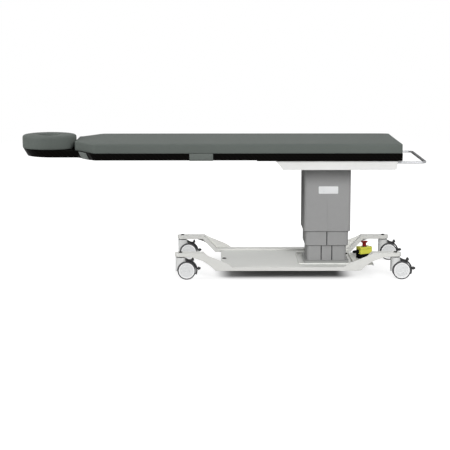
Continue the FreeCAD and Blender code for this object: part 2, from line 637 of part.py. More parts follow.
def caster_housing(label, x, y):
    """Turret arched over the wheels, with a web down to the fixed axle and a slot for the pedal's pin."""
    body = new_body(label)
    turret = sketch_on(body, "XY", "dim.turret_bottom")
    circle(turret, "0", "0", "dim.turret_diameter")
    pad(body, turret, f"{TURRET_TOP} - dim.turret_bottom")
    arch = sketch_on(body, "XZ")
    circle(arch, "dim.caster_trail", WHEEL_R, "dim.wheel_diameter + 2 * dim.arch_gap")
    pocket(body, arch, "2 * dim.turret_diameter", middle=True)

    boss = sketch_on(body, "XZ")
    circle(boss, "dim.caster_trail", WHEEL_R, "2 * dim.web_radius")
    pad(body, boss, "dim.web_thickness", middle=True)
    web = sketch_on(body, "XZ")
    inside = "(dim.turret_diameter / 2 - dim.web_inset)"
    shoulder = f"({PIN_Z} - dim.pedal_arm_height)"
    diagonal = "dim.web_radius * sqrt(0.5)"
    outline(web, [
        (f"-{inside}", "dim.turret_bottom + dim.web_foot_gap"),
        (f"-{inside}", shoulder),
        (inside, shoulder),
        (f"dim.caster_trail + {diagonal}", f"{WHEEL_R} + {diagonal}"),
        ("dim.caster_trail", WHEEL_R),
        (f"dim.caster_trail - {diagonal}", f"{WHEEL_R} - {diagonal}"),
    ])
    pad(body, web, "dim.web_thickness", middle=True)

    bore = sketch_on(body, "XY", TURRET_TOP)
    circle(bore, "0", "0", "dim.stem_diameter + 2 * dim.running_gap")
    pocket(body, bore, "dim.stem_depth + dim.stem_end_gap")
    opening = sketch_on(body, "XY", TURRET_TOP)
    half = "(dim.pedal_width / 2 + dim.pedal_slot_gap)"
    rectangle(opening, "dim.stem_diameter / 2 + dim.pedal_slot_wall", "dim.turret_diameter", f"-{half}", half)
    pocket(body, opening, "dim.pedal_pin_drop + dim.pedal_arm_height / 2 + dim.pedal_slot_floor_gap")

    pin = sketch_on(body, "XZ")
    circle(pin, "dim.pedal_pin_x", PIN_Z, "dim.pedal_pin_diameter")
    pad(body, pin, f"2 * {half}", middle=True)
    axle = sketch_on(body, "XZ")
    circle(axle, "dim.caster_trail", WHEEL_R, "dim.axle_diameter")
    reach = "(dim.wheel_width - dim.disc_thickness - dim.end_gap)"
    pad(body, axle, f"dim.wheel_gap + 2 * {reach}", middle=True)
    place(body, x, y)


def caster_wheel(label, x, y, turn):
    """Wheel and tyre in one, bored from its inner side for the axle."""
    body = new_body(label)
    profile = sketch_on(body, "XY")
    bore = "dim.axle_diameter / 2 + dim.running_gap"
    inner = "-dim.wheel_gap / 2"
    outer = "(-dim.wheel_gap / 2 - dim.wheel_width)"
    outline(profile, [
        (bore, inner),
        (WHEEL_R, inner),
        (WHEEL_R, outer),
        ("0", outer),
        ("0", f"{outer} + dim.disc_thickness"),
        (bore, f"{outer} + dim.disc_thickness"),
    ])
    revolve(body, profile)
    place(body, f"{x} + dim.caster_trail", y, WHEEL_R, turn)


def caster_pedal(label, x, y):
    """Band round the wheels with two toes, and an arm that turns on the housing's pin."""
    body = new_body(label)
    band = sketch_on(body, "XZ")
    sector(band, "dim.caster_trail", WHEEL_R, f"{WHEEL_R} + dim.pedal_gap",
           f"{WHEEL_R} + dim.pedal_gap + dim.pedal_thickness", "dim.pedal_low_angle", "dim.pedal_high_angle")
    pad(body, band, "dim.pedal_width", middle=True)

    arm = sketch_on(body, "XZ")
    low, high = f"{PIN_Z} - dim.pedal_arm_height / 2", f"{PIN_Z} + dim.pedal_arm_height / 2"
    tip_x = f"dim.caster_trail + {BAND_MIDDLE} * cos(dim.pedal_high_angle - dim.pedal_tip_angle)"
    tip_z = f"{WHEEL_R} + {BAND_MIDDLE} * sin(dim.pedal_high_angle - dim.pedal_tip_angle)"
    outline(arm, [
        ("dim.pedal_pin_x - dim.pedal_arm_height / 2", low),
        ("dim.turret_diameter / 2 + dim.arch_gap", low),
        (tip_x, f"{tip_z} - dim.pedal_arm_tip / 2"),
        (tip_x, f"{tip_z} + dim.pedal_arm_tip / 2"),
        ("dim.turret_diameter / 2", high),
        ("dim.pedal_pin_x - dim.pedal_arm_height / 2", high),
    ])
    pad(body, arm, "dim.pedal_width", middle=True)
    bore = sketch_on(body, "XZ")
    circle(bore, "dim.pedal_pin_x", PIN_Z, "dim.pedal_pin_diameter + 2 * dim.running_gap")
    pocket(body, bore, "2 * dim.pedal_width", middle=True)

    # each toe stands on a neck as narrow as the arm, so that it clears the wheels when it is pressed
    half = "dim.toe_thickness / 2"
    rim = "(dim.pedal_thickness / 2 + dim.toe_neck)"
    up_x = "dim.caster_trail + dim.toe_up_offset"
    up_z = f"({WHEEL_R} + sqrt({BAND_MIDDLE}^2 - dim.toe_up_offset^2))"
    side_x = f"(dim.caster_trail + sqrt({BAND_MIDDLE}^2 - dim.toe_side_offset^2))"
    side_z = f"({WHEEL_R} + dim.toe_side_offset)"
    necks = sketch_on(body, "XZ")
    rectangle(necks, f"{up_x} - {half}", f"{up_x} + {half}", up_z, f"{up_z} + {rim}")
    rectangle(necks, side_x, f"{side_x} + {rim}", f"{side_z} - {half}", f"{side_z} + {half}")
    pad(body, necks, "dim.pedal_width", middle=True)
    toes = sketch_on(body, "XZ")
    outline(toes, [
        (f"{up_x} - {half}", f"{up_z} + {rim}"),
        (f"{up_x} + {half}", f"{up_z} + {rim}"),
        (f"{up_x} + {half}", f"{up_z} + {rim} + dim.toe_length"),
        (up_x, f"{up_z} + {rim} + dim.toe_length"),
    ])
    outline(toes, [
        (f"{side_x} + {rim}", f"{side_z} - {half}"),
        (f"{side_x} + {rim} + dim.toe_length", side_z),
        (f"{side_x} + {rim} + dim.toe_length", f"{side_z} + {half}"),
        (f"{side_x} + {rim}", f"{side_z} + {half}"),
    ])
    pad(body, toes, "dim.toe_width", middle=True)
    place(body, x, y)


def casters():
    group("caster_stems", [caster_stem(x, y) for _, x, y in CASTERS])
    group("caster_collars", [caster_collar(x, y) for _, x, y in CASTERS])
    group("caster_bolt_caps", [bolt_cap(x, y) for _, x, y in CASTERS])
    for name, x, y in CASTERS:
        caster_housing(f"{name}_housing", x, y)
        caster_pedal(f"{name}_pedal", x, y)
        caster_wheel(f"{name}_wheel_near", x, y, 0)
        caster_wheel(f"{name}_wheel_far", x, y, 180)


# ---- lifting column

def shroud(label, steps, bottom, top, grooves, groove_width, groove_depth):
    """Rounded box section; steps is how many shrouds are outside it, grooves their offsets."""
    body = new_body(label)
    length = f"(dim.upper_length - {steps} * {STEP})"
    width = f"(dim.upper_width - {steps} * {STEP})"
    section = sketch_on(body, "XY", bottom)
    centred(section, "0", "0", length, width, "dim.shroud_corner")
    centred(section, "0", "0", f"({length} - 2 * dim.shroud_wall)", f"({width} - 2 * dim.shroud_wall)",
            "dim.shroud_corner - dim.shroud_wall")
    pad(body, section, f"{top} - {bottom}")
    for offset in grooves:
        groove = sketch_on(body, "XY", bottom)
        for side in ("-", ""):
            centred(groove, offset, f"{side}{width} / 2", groove_width, f"2 * {groove_depth}")
        pocket(body, groove, f"{top} - {bottom}", reverse=True)
    place(body, "dim.column_x")
    return body


def shrouds():
    half = "dim.groove_spacing / 2"
    shroud("lower_shroud", 2, FOOT_PLATE_TOP, "dim.lower_shroud_top", (f"-{half}", half),
           "dim.groove_width", "dim.groove_depth")
    shroud("upper_shroud", 0, "dim.upper_shroud_bottom", "dim.pan_bottom", ("0",),
           "dim.fine_groove_width", "dim.fine_groove_depth")
    body = shroud("middle_shroud", 1, "dim.middle_shroud_bottom", "dim.middle_shroud_top", ("0",),
                  "dim.groove_width", "dim.groove_depth")
    # top flange that holds the middle tube
    inner = f"({STEP} + 2 * dim.shroud_wall)"
    flange = sketch_on(body, "XY", "dim.middle_shroud_top - dim.shroud_wall")
    centred(flange, "0", "0", f"(dim.upper_length - {inner})", f"(dim.upper_width - {inner})",
            "dim.shroud_corner - dim.shroud_wall")
    side = f"(dim.tube_side - {TUBE_STEP})"
    centred(flange, "0", "0", side, side)
    pad(body, flange, "dim.shroud_wall")


def column_tube(label, steps, bottom, top):
    body = new_body(label)
    side = f"(dim.tube_side - {steps} * {TUBE_STEP})"
    section = sketch_on(body, "XY", bottom)
    centred(section, "0", "0", side, side)
    centred(section, "0", "0", f"({side} - 2 * dim.tube_wall)", f"({side} - 2 * dim.tube_wall)")
    pad(body, section, f"{top} - {bottom}")
    place(body, "dim.column_x")


def column_foot():
    body = new_body("column_foot_plate")
    plan = sketch_on(body, "XY", TRAY_BOTTOM)
    centred(plan, "0", "0", "dim.foot_plate_length", "dim.foot_plate_width", "dim.tray_corner")
    pad(body, plan, "dim.foot_plate_thickness")
    place(body, "dim.column_x")

    body = new_body("lift_nut_tube")
    plan = sketch_on(body, "XY", FOOT_PLATE_TOP)
    circle(plan, "0", "0", "dim.nut_tube_diameter")
    circle(plan, "0", "0", "dim.nut_tube_bore")
    pad(body, plan, f"dim.nut_tube_top - {FOOT_PLATE_TOP}")
    place(body, "dim.column_x")


def lifting_drive():
    """Screw, gearbox with motor, and the plate that joins the column to the pan."""
    body = new_body("lift_screw")
    rod = sketch_on(body, "XY", "dim.screw_bottom")
    circle(rod, "0", "0", "dim.screw_diameter")
    pad(body, rod, f"{PLATE_TOP} - dim.screw_bottom")
    place(body, "dim.column_x")

    body = new_body("lift_motor")
    plan = sketch_on(body, "XY", PLATE_TOP)
    centred(plan, "0", "0", "dim.gearbox_side", "dim.gearbox_side")
    pad(body, plan, "dim.gearbox_height")
    barrel = sketch_on(body, "YZ", "dim.gearbox_side / 2")
    circle(barrel, "0", f"{PLATE_TOP} + dim.gearbox_height / 2", "dim.motor_diameter")
    pad(body, barrel, "dim.motor_length")
    place(body, "dim.column_x")

    body = new_body("column_head_plate")
    plan = sketch_on(body, "XY", PAN_FLOOR)
    centred(plan, "0", "0", "dim.head_plate_side", "dim.head_plate_side")
    circle(plan, "0", "0", "dim.screw_hole_diameter")
    pad(body, plan, "dim.head_plate_thickness")
    place(body, "dim.column_x")


# ---- top

def support_pan():
    """Open-topped pan with a sloped head end and a rounded foot corner."""
    body = new_body("support_pan")
    side = sketch_on(body, "XZ")
    outline(side, [
        ("dim.pan_head_x + dim.pan_bevel", "dim.pan_bottom"),
        ("dim.pan_foot_x", "dim.pan_bottom", "dim.pan_corner"),
        ("dim.pan_foot_x", PAN_TOP),
        ("dim.pan_head_x", PAN_TOP),
    ])
    pad(body, side, "dim.pan_width", middle=True)

    # the wall is square to the sloped end, so the inside of that end moves by its thickness over sine
    slope = "atan2(dim.pan_height; dim.pan_bevel)"
    top_shift = f"(dim.pan_wall / sin({slope}))"
    floor_shift = f"({top_shift} + dim.pan_bevel - dim.pan_bevel * dim.pan_wall / dim.pan_height)"
    inside = sketch_on(body, "XZ")
    outline(inside, [
        (f"dim.pan_head_x + {floor_shift}", PAN_FLOOR),
        ("dim.pan_foot_x - dim.pan_wall", PAN_FLOOR, "dim.pan_corner - dim.pan_wall"),
        ("dim.pan_foot_x - dim.pan_wall", f"{PAN_TOP} + dim.pan_wall"),
        (f"dim.pan_head_x + {top_shift}", f"{PAN_TOP} + dim.pan_wall"),
        (f"dim.pan_head_x + {top_shift}", PAN_TOP),
    ])
    pocket(body, inside, "dim.pan_width - 2 * dim.pan_wall", middle=True)

    floor = sketch_on(body, "XY", f"{PAN_FLOOR} + dim.pan_wall")
    circle(floor, "dim.column_x", "0", "dim.screw_hole_diameter")
    pocket(body, floor, "3 * dim.pan_wall")

    end = sketch_on(body, "YZ", "dim.pan_foot_x + dim.pan_wall")
    for y in (f"-{HANDLE_Y}", HANDLE_Y):
        circle(end, y, HANDLE_Z, "dim.handle_rod + 2 * dim.fit_gap")
    pocket(body, end, "dim.handle_insert + dim.pan_wall")


def control_box():
    body = new_body("control_box")
    plan = sketch_on(body, "XY", PAN_FLOOR)
    rectangle(plan, "dim.control_box_x", "dim.control_box_x + dim.control_box_length",
              "-dim.control_box_width / 2", "dim.control_box_width / 2")
    pad(body, plan, "dim.control_box_height")


def carbon_plan(sketch, inset, bevel, under_run):
    """Plan of the top at one level: the full width, the shoulders and the round head platform."""
    half = f"(dim.carbon_width / 2 - {inset})"
    head = f"(dim.carbon_head_width / 2 - {inset})"
    end = f"dim.carbon_head_x + {bevel}"
    round_end = f"{head} - dim.carbon_head_flat / 2"
    neck = f"(dim.shoulder_x + {under_run})"
    shoulder = f"({neck} + dim.shoulder_run)"
    outline(sketch, [
        (end, f"-{head}", round_end),
        (neck, f"-{head}", "dim.shoulder_radius"),
        (shoulder, f"-{half}", "dim.shoulder_radius"),
        ("dim.carbon_foot_x", f"-{half}"),
        ("dim.carbon_foot_x", half),
        (shoulder, half, "dim.shoulder_radius"),
        (neck, head, "dim.shoulder_radius"),
        (end, head, round_end),
    ])


def carbon_top():
    """Moulded top whose head platform slopes up underneath, thicker where it lies on the pan."""
    body = new_body("carbon_top")
    upper = sketch_on(body, "XY", CARBON_TOP)
    carbon_plan(upper, "0", "0", "0")
    under = sketch_on(body, "XY", CARBON_BOTTOM)
    carbon_plan(under, "dim.carbon_under_inset", "dim.carbon_bevel", "dim.shoulder_under_run")
    loft = body.newObject("PartDesign::AdditiveLoft", "carbon_loft")
    loft.Profile = upper
    loft.Sections = [under]
    loft.Ruled = True
    mount = sketch_on(body, "XY", PAN_TOP)
    rectangle(mount, "dim.mount_head_x", "dim.carbon_foot_x", "-dim.mount_width / 2", "dim.mount_width / 2")
    pad(body, mount, "dim.mount_thickness")


def main_pad():
    body = new_body("main_pad")
    plan = sketch_on(body, "XY", CARBON_TOP)
    half = "(dim.carbon_width / 2 + dim.pad_overhang)"
    head = "dim.pad_head_width / 2"
    neck = "dim.pad_head_x + dim.pad_neck"
    shoulder = "dim.shoulder_x + dim.shoulder_run + dim.shoulder_radius / 2"
    outline(plan, [
        ("dim.pad_head_x", f"-{head}", "dim.pad_corner_radius"),
        (neck, f"-{head}", "dim.pad_corner_radius"),
        (shoulder, f"-{half}", "dim.pad_corner_radius"),
        ("dim.carbon_foot_x", f"-{half}", "dim.pad_corner_radius"),
        ("dim.carbon_foot_x", half, "dim.pad_corner_radius"),
        (shoulder, half, "dim.pad_corner_radius"),
        (neck, head, "dim.pad_corner_radius"),
        ("dim.pad_head_x", head, "dim.pad_corner_radius"),
    ])
    pad(body, plan, "dim.pad_thickness")
    top = f"{CARBON_TOP} + dim.pad_thickness"
    dress(body, "Fillet", "dim.pad_edge_radius", lambda e: lies_at(e, top))


def head_ring():
    body = new_body("head_ring")
    section = sketch_on(body, "XZ")
    hole, rim, top = "dim.ring_hole / 2", "dim.ring_diameter / 2", "dim.ring_height"
    # the outer shoulder follows a quarter circle by way of its middle
    bevel, halfway = "dim.ring_outer_bevel", "dim.ring_outer_bevel * (1 - sqrt(0.5))"
    outline(section, [
        (hole, "0"),
        (rim, "0"),
        (rim, f"{top} - {bevel}"),
        (f"{rim} - {halfway}", f"{top} - {halfway}"),
        (f"{rim} - {bevel}", top),
        (f"{hole} + dim.ring_inner_bevel", top),
        (hole, f"{top} - dim.ring_inner_bevel"),
    ])
    revolve(body, section)
    place(body, "dim.pad_head_x - dim.cushion_gap - dim.ring_diameter / 2", "0", CARBON_TOP)


def strap(label, width, lean):
    """Strap in its own frame: down the top's side, which leans in by lean, and back under it."""
    body = new_body(label)
    section = sketch_on(body, "YZ")
    outline(section, [
        ("0", "dim.carbon_thickness"),
        ("-dim.strap_thickness", "dim.carbon_thickness"),
        (f"{lean} - dim.strap_thickness", "-dim.strap_thickness", "dim.strap_thickness"),
        ("dim.strap_return", "-dim.strap_thickness"),
        ("dim.strap_return", "0"),
        (lean, "0"),
    ])
    pad(body, section, width, middle=True)
    return body


def straps():
    for label, edge_y, turn in (("side_strap_near", "-dim.carbon_width / 2", 0),
                                ("side_strap_far", "dim.carbon_width / 2", 180)):
        place(strap(label, "dim.strap_width", "dim.carbon_under_inset"), "dim.side_strap_x", edge_y, CARBON_BOTTOM,
              turn)

    rise = "(dim.carbon_width / 2 - dim.carbon_head_width / 2)"
    middle_x = "dim.shoulder_x + dim.shoulder_run / 2"
    middle_y = "(dim.carbon_width / 4 + dim.carbon_head_width / 4)"
    slant = math.degrees(math.atan2(size(rise), size("dim.shoulder_run")))
    lean = (f"((dim.carbon_under_inset * dim.shoulder_run + dim.shoulder_under_run * {rise})"
            f" / sqrt(dim.shoulder_run^2 + {rise}^2))")
    for label, edge_y, turn in (("corner_strap_near", f"-{middle_y}", -slant),
                                ("corner_strap_far", middle_y, 180 + slant)):
        place(strap(label, "dim.corner_strap_width", lean), middle_x, edge_y, CARBON_BOTTOM, turn)


# ---- handle

def handle_rod():
    """Steel rod bent into a U, swept along its own centre line."""
    body = new_body("handle_rod")
    path = sketch_on(body, "XY", HANDLE_Z)
    start = "dim.pan_foot_x - dim.handle_insert"
    bend = "dim.handle_bend"
    straight = [
        (start, f"-{HANDLE_Y}", f"{CROSSBAR_X} - {bend}", f"-{HANDLE_Y}"),
        (CROSSBAR_X, f"-{HANDLE_Y} + {bend}", CROSSBAR_X, f"{HANDLE_Y} - {bend}"),
        (f"{CROSSBAR_X} - {bend}", HANDLE_Y, start, HANDLE_Y),
    ]
    lines = []
    for x0, y0, x1, y1 in straight:
        ends = Vector(size(x0), size(y0), 0), Vector(size(x1), size(y1), 0)
        lines.append(path.addGeometry(Part.LineSegment(*ends), False))
        locate(path, lines[-1], 1, x0, y0)
        locate(path, lines[-1], 2, x1, y1)
    for i, (y, first) in enumerate(((f"-{HANDLE_Y} + {bend}", -90), (f"{HANDLE_Y} - {bend}", 0))):
        centre = Vector(size(f"{CROSSBAR_X} - {bend}"), size(y), 0)
        turn = Part.Circle(centre, Vector(0, 0, 1), size(bend))
        arc = path.addGeometry(
            Part.ArcOfCircle(turn, math.radians(first), math.radians(first + 90)), False)
        path.addConstraint(Sketcher.Constraint("Coincident", lines[i], 2, arc, 1))
        path.addConstraint(Sketcher.Constraint("Coincident", arc, 2, lines[i + 1], 1))
        bind(path, Sketcher.Constraint("Radius", arc, size(bend)), bend)
    section = sketch_on(body, "YZ", start)
    circle(section, f"-{HANDLE_Y}", HANDLE_Z, "dim.handle_rod")
    sweep = body.newObject("PartDesign::AdditivePipe", "handle_sweep")
    sweep.Profile = section
    sweep.Spine = path


def handle_grip():
    body = new_body("handle_grip")
    section = sketch_on(body, "XZ")
    circle(section, CROSSBAR_X, HANDLE_Z, "dim.grip_diameter")
    circle(section, CROSSBAR_X, HANDLE_Z, "dim.handle_rod + 2 * dim.fit_gap")
    pad(body, section, f"2 * {HANDLE_Y} - 2 * dim.grip_end", middle=True)


def handle_bush(y):
    body = new_body("handle_bush", keep=False)
    section = sketch_on(body, "YZ", "dim.pan_foot_x")
    circle(section, y, HANDLE_Z, "dim.bush_diameter")
    circle(section, y, HANDLE_Z, "dim.handle_rod + 2 * dim.fit_gap")
    pad(body, section, "dim.bush_thickness")
    return body


# ---- emergency stop

def gland(body, start, height, across, collar_length, nut, length):
    """Cable gland along +X from the face at start: a hexagonal collar and a round nut."""
    base = sketch_on(body, "YZ", start)
    corner = f"{across} / sqrt(3)"
    outline(base, [
        (f"{across} / 2", f"{height} - {corner} / 2"),
        (f"{across} / 2", f"{height} + {corner} / 2"),
        ("0", f"{height} + {corner}"),
        (f"-{across} / 2", f"{height} + {corner} / 2"),
        (f"-{across} / 2", f"{height} - {corner} / 2"),
        ("0", f"{height} - {corner}"),
    ])
    pad(body, base, collar_length)
    nose = sketch_on(body, "YZ", start)
    circle(nose, "0", height, nut)
    pad(body, nose, length)


def emergency_stop():
    turn = size("dim.stop_turn")

    body = new_body("estop_base")
    plan = sketch_on(body, "XY", TRAY_TOP)
    centred(plan, "0", "0", "dim.stop_base_length", "dim.stop_base_width", "2 * dim.stop_box_corner")
    pad(body, plan, "dim.stop_base_height")
    place(body, "dim.stop_x", "dim.stop_y", turn=turn)

    body = new_body("estop_box")
    plan = sketch_on(body, "XY", BOX_BOTTOM)
    centred(plan, "0", "0", "dim.stop_box_length", "dim.stop_box_width", "dim.stop_box_corner")
    pad(body, plan, "dim.stop_box_height")
    hole = sketch_on(body, "XY", BOX_TOP)
    circle(hole, "0", "0", "dim.stop_stem_diameter + 2 * dim.stop_hole_gap")
    pocket(body, hole, "dim.stop_stem_inside + dim.stop_travel + dim.stop_hole_gap")
    place(body, "dim.stop_x", "dim.stop_y", turn=turn)

    body = new_body("estop_stem")
    plan = sketch_on(body, "XY", f"{BOX_TOP} - dim.stop_stem_inside")
    circle(plan, "0", "0", "dim.stop_stem_diameter")
    pad(body, plan, "dim.stop_stem_inside + dim.stop_stem_height")
    spigot = sketch_on(body, "XY", STEM_TOP)
    circle(spigot, "0", "0", "dim.stop_spigot_diameter")
    pad(body, spigot, "dim.stop_spigot_length")
    place(body, "dim.stop_x", "dim.stop_y")

    body = new_body("estop_cap")
    section = sketch_on(body, "XZ")
    bore = "dim.stop_spigot_diameter / 2 + dim.running_gap"
    foot = f"({STEM_TOP} + dim.stop_hole_gap)"
    top = f"({STEM_TOP} + dim.stop_cap_height)"
    outline(section, [
        (bore, foot),
        ("dim.stop_stem_diameter / 2", foot),
        ("dim.stop_cap_diameter / 2", f"{top} - dim.stop_cap_rim"),
        ("dim.stop_cap_diameter / 2", top),
        ("0", top),
        ("0", f"{STEM_TOP} + dim.stop_spigot_length + dim.stop_hole_gap"),
        (bore, f"{STEM_TOP} + dim.stop_spigot_length + dim.stop_hole_gap"),
    ])
    revolve(body, section)
    place(body, "dim.stop_x", "dim.stop_y")

    body = new_body("estop_gland")
    gland(body, "dim.stop_box_length / 2", f"{BOX_BOTTOM} + dim.gland_height",
          "dim.gland_width", "dim.gland_collar", "dim.gland_nut", "dim.gland_length")
    place(body, "dim.stop_x", "dim.stop_y", turn=turn + 180)

    body = new_body("foot_gland")
    gland(body, f"(dim.upper_length - 2 * {STEP}) / 2", f"{FOOT_PLATE_TOP} + dim.foot_gland_height",
          "dim.foot_gland_width", "dim.foot_gland_collar", "dim.foot_gland_nut", "dim.foot_gland_length")
    place(body, "dim.column_x", "dim.foot_gland_y")


# ---- whole table

def build():
    side_rail("side_rail_near", -1)
    side_rail("side_rail_far", 1)
    cross_bar("cross_bar_head", "dim.head_bar_x")
    cross_bar("cross_bar_middle", "dim.middle_bar_x")
    base_plate()
    base_tray()
    tray_plug()
    casters()
    column_foot()
    shrouds()
    column_tube("column_tube_lower", 0, FOOT_PLATE_TOP, "dim.lower_tube_top")
    column_tube("column_tube_middle", 1, "dim.middle_tube_bottom", "dim.middle_tube_top")
    column_tube("column_tube_upper", 2, "dim.upper_tube_bottom", "dim.pan_bottom")
    lifting_drive()
    support_pan()
    control_box()
    carbon_top()
    main_pad()
    head_ring()
    straps()
    handle_rod()
    handle_grip()
    group("handle_bushes", [handle_bush(f"-{HANDLE_Y}"), handle_bush(HANDLE_Y)])
    emergency_stop()


def export():
    doc.recompute()
    for item in doc.Objects:
        if "Invalid" in item.State or "Error" in item.State:
            raise RuntimeError(f"{item.Name} failed: {item.State}")
    for node in NODES:
        if node.Shape.isNull() or not node.Shape.isValid() or not node.Shape.Solids:
            raise RuntimeError(f"{node.Label} has no valid solid")
    os.makedirs("parts", exist_ok=True)
    for node in NODES:
        node.Shape.exportStep(os.path.join("parts", f"{node.Label}.step"))
    print(f"{len(NODES)} nodes written")


build()
export()
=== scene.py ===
import math

import bmesh
import bpy
from mathutils import Matrix, Vector


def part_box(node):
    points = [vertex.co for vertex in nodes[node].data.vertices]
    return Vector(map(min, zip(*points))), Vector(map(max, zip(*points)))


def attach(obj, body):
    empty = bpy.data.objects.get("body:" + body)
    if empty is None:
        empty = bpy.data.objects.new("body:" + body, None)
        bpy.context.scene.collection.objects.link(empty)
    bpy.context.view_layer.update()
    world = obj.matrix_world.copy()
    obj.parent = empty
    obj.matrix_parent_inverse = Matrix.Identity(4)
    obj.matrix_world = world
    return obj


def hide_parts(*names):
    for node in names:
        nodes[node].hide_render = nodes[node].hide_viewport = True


# Looks of a radiography table with a carbon-fibre top, on a telescoping column and a caster base.
# Metres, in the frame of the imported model: +X towards the handle, +Z up, the near side at -Y.

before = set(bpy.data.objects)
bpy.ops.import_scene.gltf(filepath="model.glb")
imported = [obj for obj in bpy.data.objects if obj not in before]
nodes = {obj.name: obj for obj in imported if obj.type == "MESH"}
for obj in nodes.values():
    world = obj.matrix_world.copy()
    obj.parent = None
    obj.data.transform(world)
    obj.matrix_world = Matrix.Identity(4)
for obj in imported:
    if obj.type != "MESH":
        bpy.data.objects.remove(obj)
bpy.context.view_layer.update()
print("frame loaded:", len(nodes), "CAD nodes")


# ---- small helpers

def addNode(tree, kind, inputs=None, **properties):
    made = tree.nodes.new(kind)
    for key, value in properties.items():
        setattr(made, key, value)
    for key, value in (inputs or {}).items():
        if isinstance(value, bpy.types.NodeSocket):
            tree.links.new(value, made.inputs[key])
        else:
            made.inputs[key].default_value = value
    return made


def maths(tree, operation, first, second=0.0, third=0.0):
    return addNode(tree, "ShaderNodeMath", {0: first, 1: second, 2: third}, operation=operation).outputs[0]


def mixColours(tree, factor, first, second):
    # a Mix node has its colour sockets at 6 and 7, and its colour result at 2
    return addNode(tree, "ShaderNodeMix", {0: factor, 6: first, 7: second}, data_type="RGBA").outputs[2]


def mixValues(tree, factor, first, second):
    return addNode(tree, "ShaderNodeMix", {0: factor, 2: first, 3: second}).outputs[0]


def remap(tree, value, fromLow, fromHigh, toLow, toHigh, curve="LINEAR"):
    ends = {"Value": value, "From Min": fromLow, "From Max": fromHigh, "To Min": toLow, "To Max": toHigh}
    return addNode(tree, "ShaderNodeMapRange", ends, interpolation_type=curve).outputs["Result"]


def noise(tree, place, scale, detail):
    return addNode(tree, "ShaderNodeTexNoise", {"Vector": place, "Scale": scale, "Detail": detail}).outputs[0]


def newGroup(name, inputs, outputs):
    # inputs go by label and starting value, where a tuple makes a vector; outputs go by label
    group = bpy.data.node_groups.new(name, "ShaderNodeTree")
    for label, start in inputs.items():
        kind = "NodeSocketVector" if isinstance(start, tuple) else "NodeSocketFloat"
        group.interface.new_socket(label, in_out="INPUT", socket_type=kind).default_value = start
    for label in outputs:
        kind = "NodeSocketVector" if label == "Normal" else "NodeSocketFloat"
        group.interface.new_socket(label, in_out="OUTPUT", socket_type=kind)
    return group, group.nodes.new("NodeGroupInput").outputs, group.nodes.new("NodeGroupOutput").inputs


def useGroup(tree, group, **values):
    made = tree.nodes.new("ShaderNodeGroup")
    made.node_tree = group
    for label, value in values.items():
        made.inputs[label].default_value = value
    return made


def placeObject(name, data):
    made = bpy.data.objects.new(name, data)
    bpy.context.scene.collection.objects.link(made)
    return made


def colour(red, green, blue):
    # 0 to 255 as seen on screen, to the linear value that a shader takes
    shares = [c / 255 for c in (red, green, blue)]
    return tuple(c / 12.92 if c <= 0.04045 else ((c + 0.055) / 1.055) ** 2.4 for c in shares) + (1.0,)


# ---- shared surface effects

def makeEdgeGroup():
    # rounds sharp edges in the shading, and gives a mask that is 1 on them
    group, given, result = newGroup("edgeWear", {"Width": 0.0008, "Breakup": 60.0}, ["Normal", "Mask"])
    softened = addNode(group, "ShaderNodeBevel", {"Radius": given["Width"]}, samples=4)
    flat = addNode(group, "ShaderNodeNewGeometry")
    turn = addNode(group, "ShaderNodeVectorMath", {0: softened.outputs[0], 1: flat.outputs["Normal"]},
                   operation="DOT_PRODUCT")
    edge = remap(group, turn.outputs["Value"], 0.99, 0.8, 0.0, 1.0)
    place = addNode(group, "ShaderNodeTexCoord").outputs["Object"]
    spread = remap(group, noise(group, place, given["Breakup"], 3.0), 0.4, 0.65, 0.0, 1.0)
    group.links.new(softened.outputs[0], result["Normal"])
    group.links.new(maths(group, "MULTIPLY", edge, spread), result["Mask"])
    return group


def makeToneGroup():
    # slow cloudy change of tone, 0 to 1 about 0.5, with a finer one over it
    group, given, result = newGroup("toneClouds", {"Scale": 3.0, "Fine": 40.0}, ["Tone"])
    place = addNode(group, "ShaderNodeTexCoord").outputs["Object"]
    slow = noise(group, place, given["Scale"], 2.0)
    fine = noise(group, place, given["Fine"], 4.0)
    both = maths(group, "MULTIPLY_ADD", slow, 0.65, maths(group, "MULTIPLY", fine, 0.35))
    group.links.new(both, result["Tone"])
    return group


def makeGrainGroup():
    # pebbled grain: flat-topped cells with fine creases between them
    group, given, result = newGroup("pebbleGrain", {"Scale": 700.0, "Crease": 0.35}, ["Height", "Creases"])
    place = addNode(group, "ShaderNodeTexCoord").outputs["Object"]
    cells = addNode(group, "ShaderNodeTexVoronoi",
                    {"Vector": place, "Scale": given["Scale"], "Randomness": 0.9}, feature="DISTANCE_TO_EDGE")
    tops = remap(group, cells.outputs["Distance"], 0.0, given["Crease"], 0.0, 1.0, "SMOOTHSTEP")
    speck = noise(group, place, given["Scale"], 3.0)
    height = maths(group, "MULTIPLY_ADD", speck, 0.4, maths(group, "MULTIPLY", tops, 0.6))
    group.links.new(height, result["Height"])
    group.links.new(maths(group, "SUBTRACT", 1.0, tops), result["Creases"])
    return group


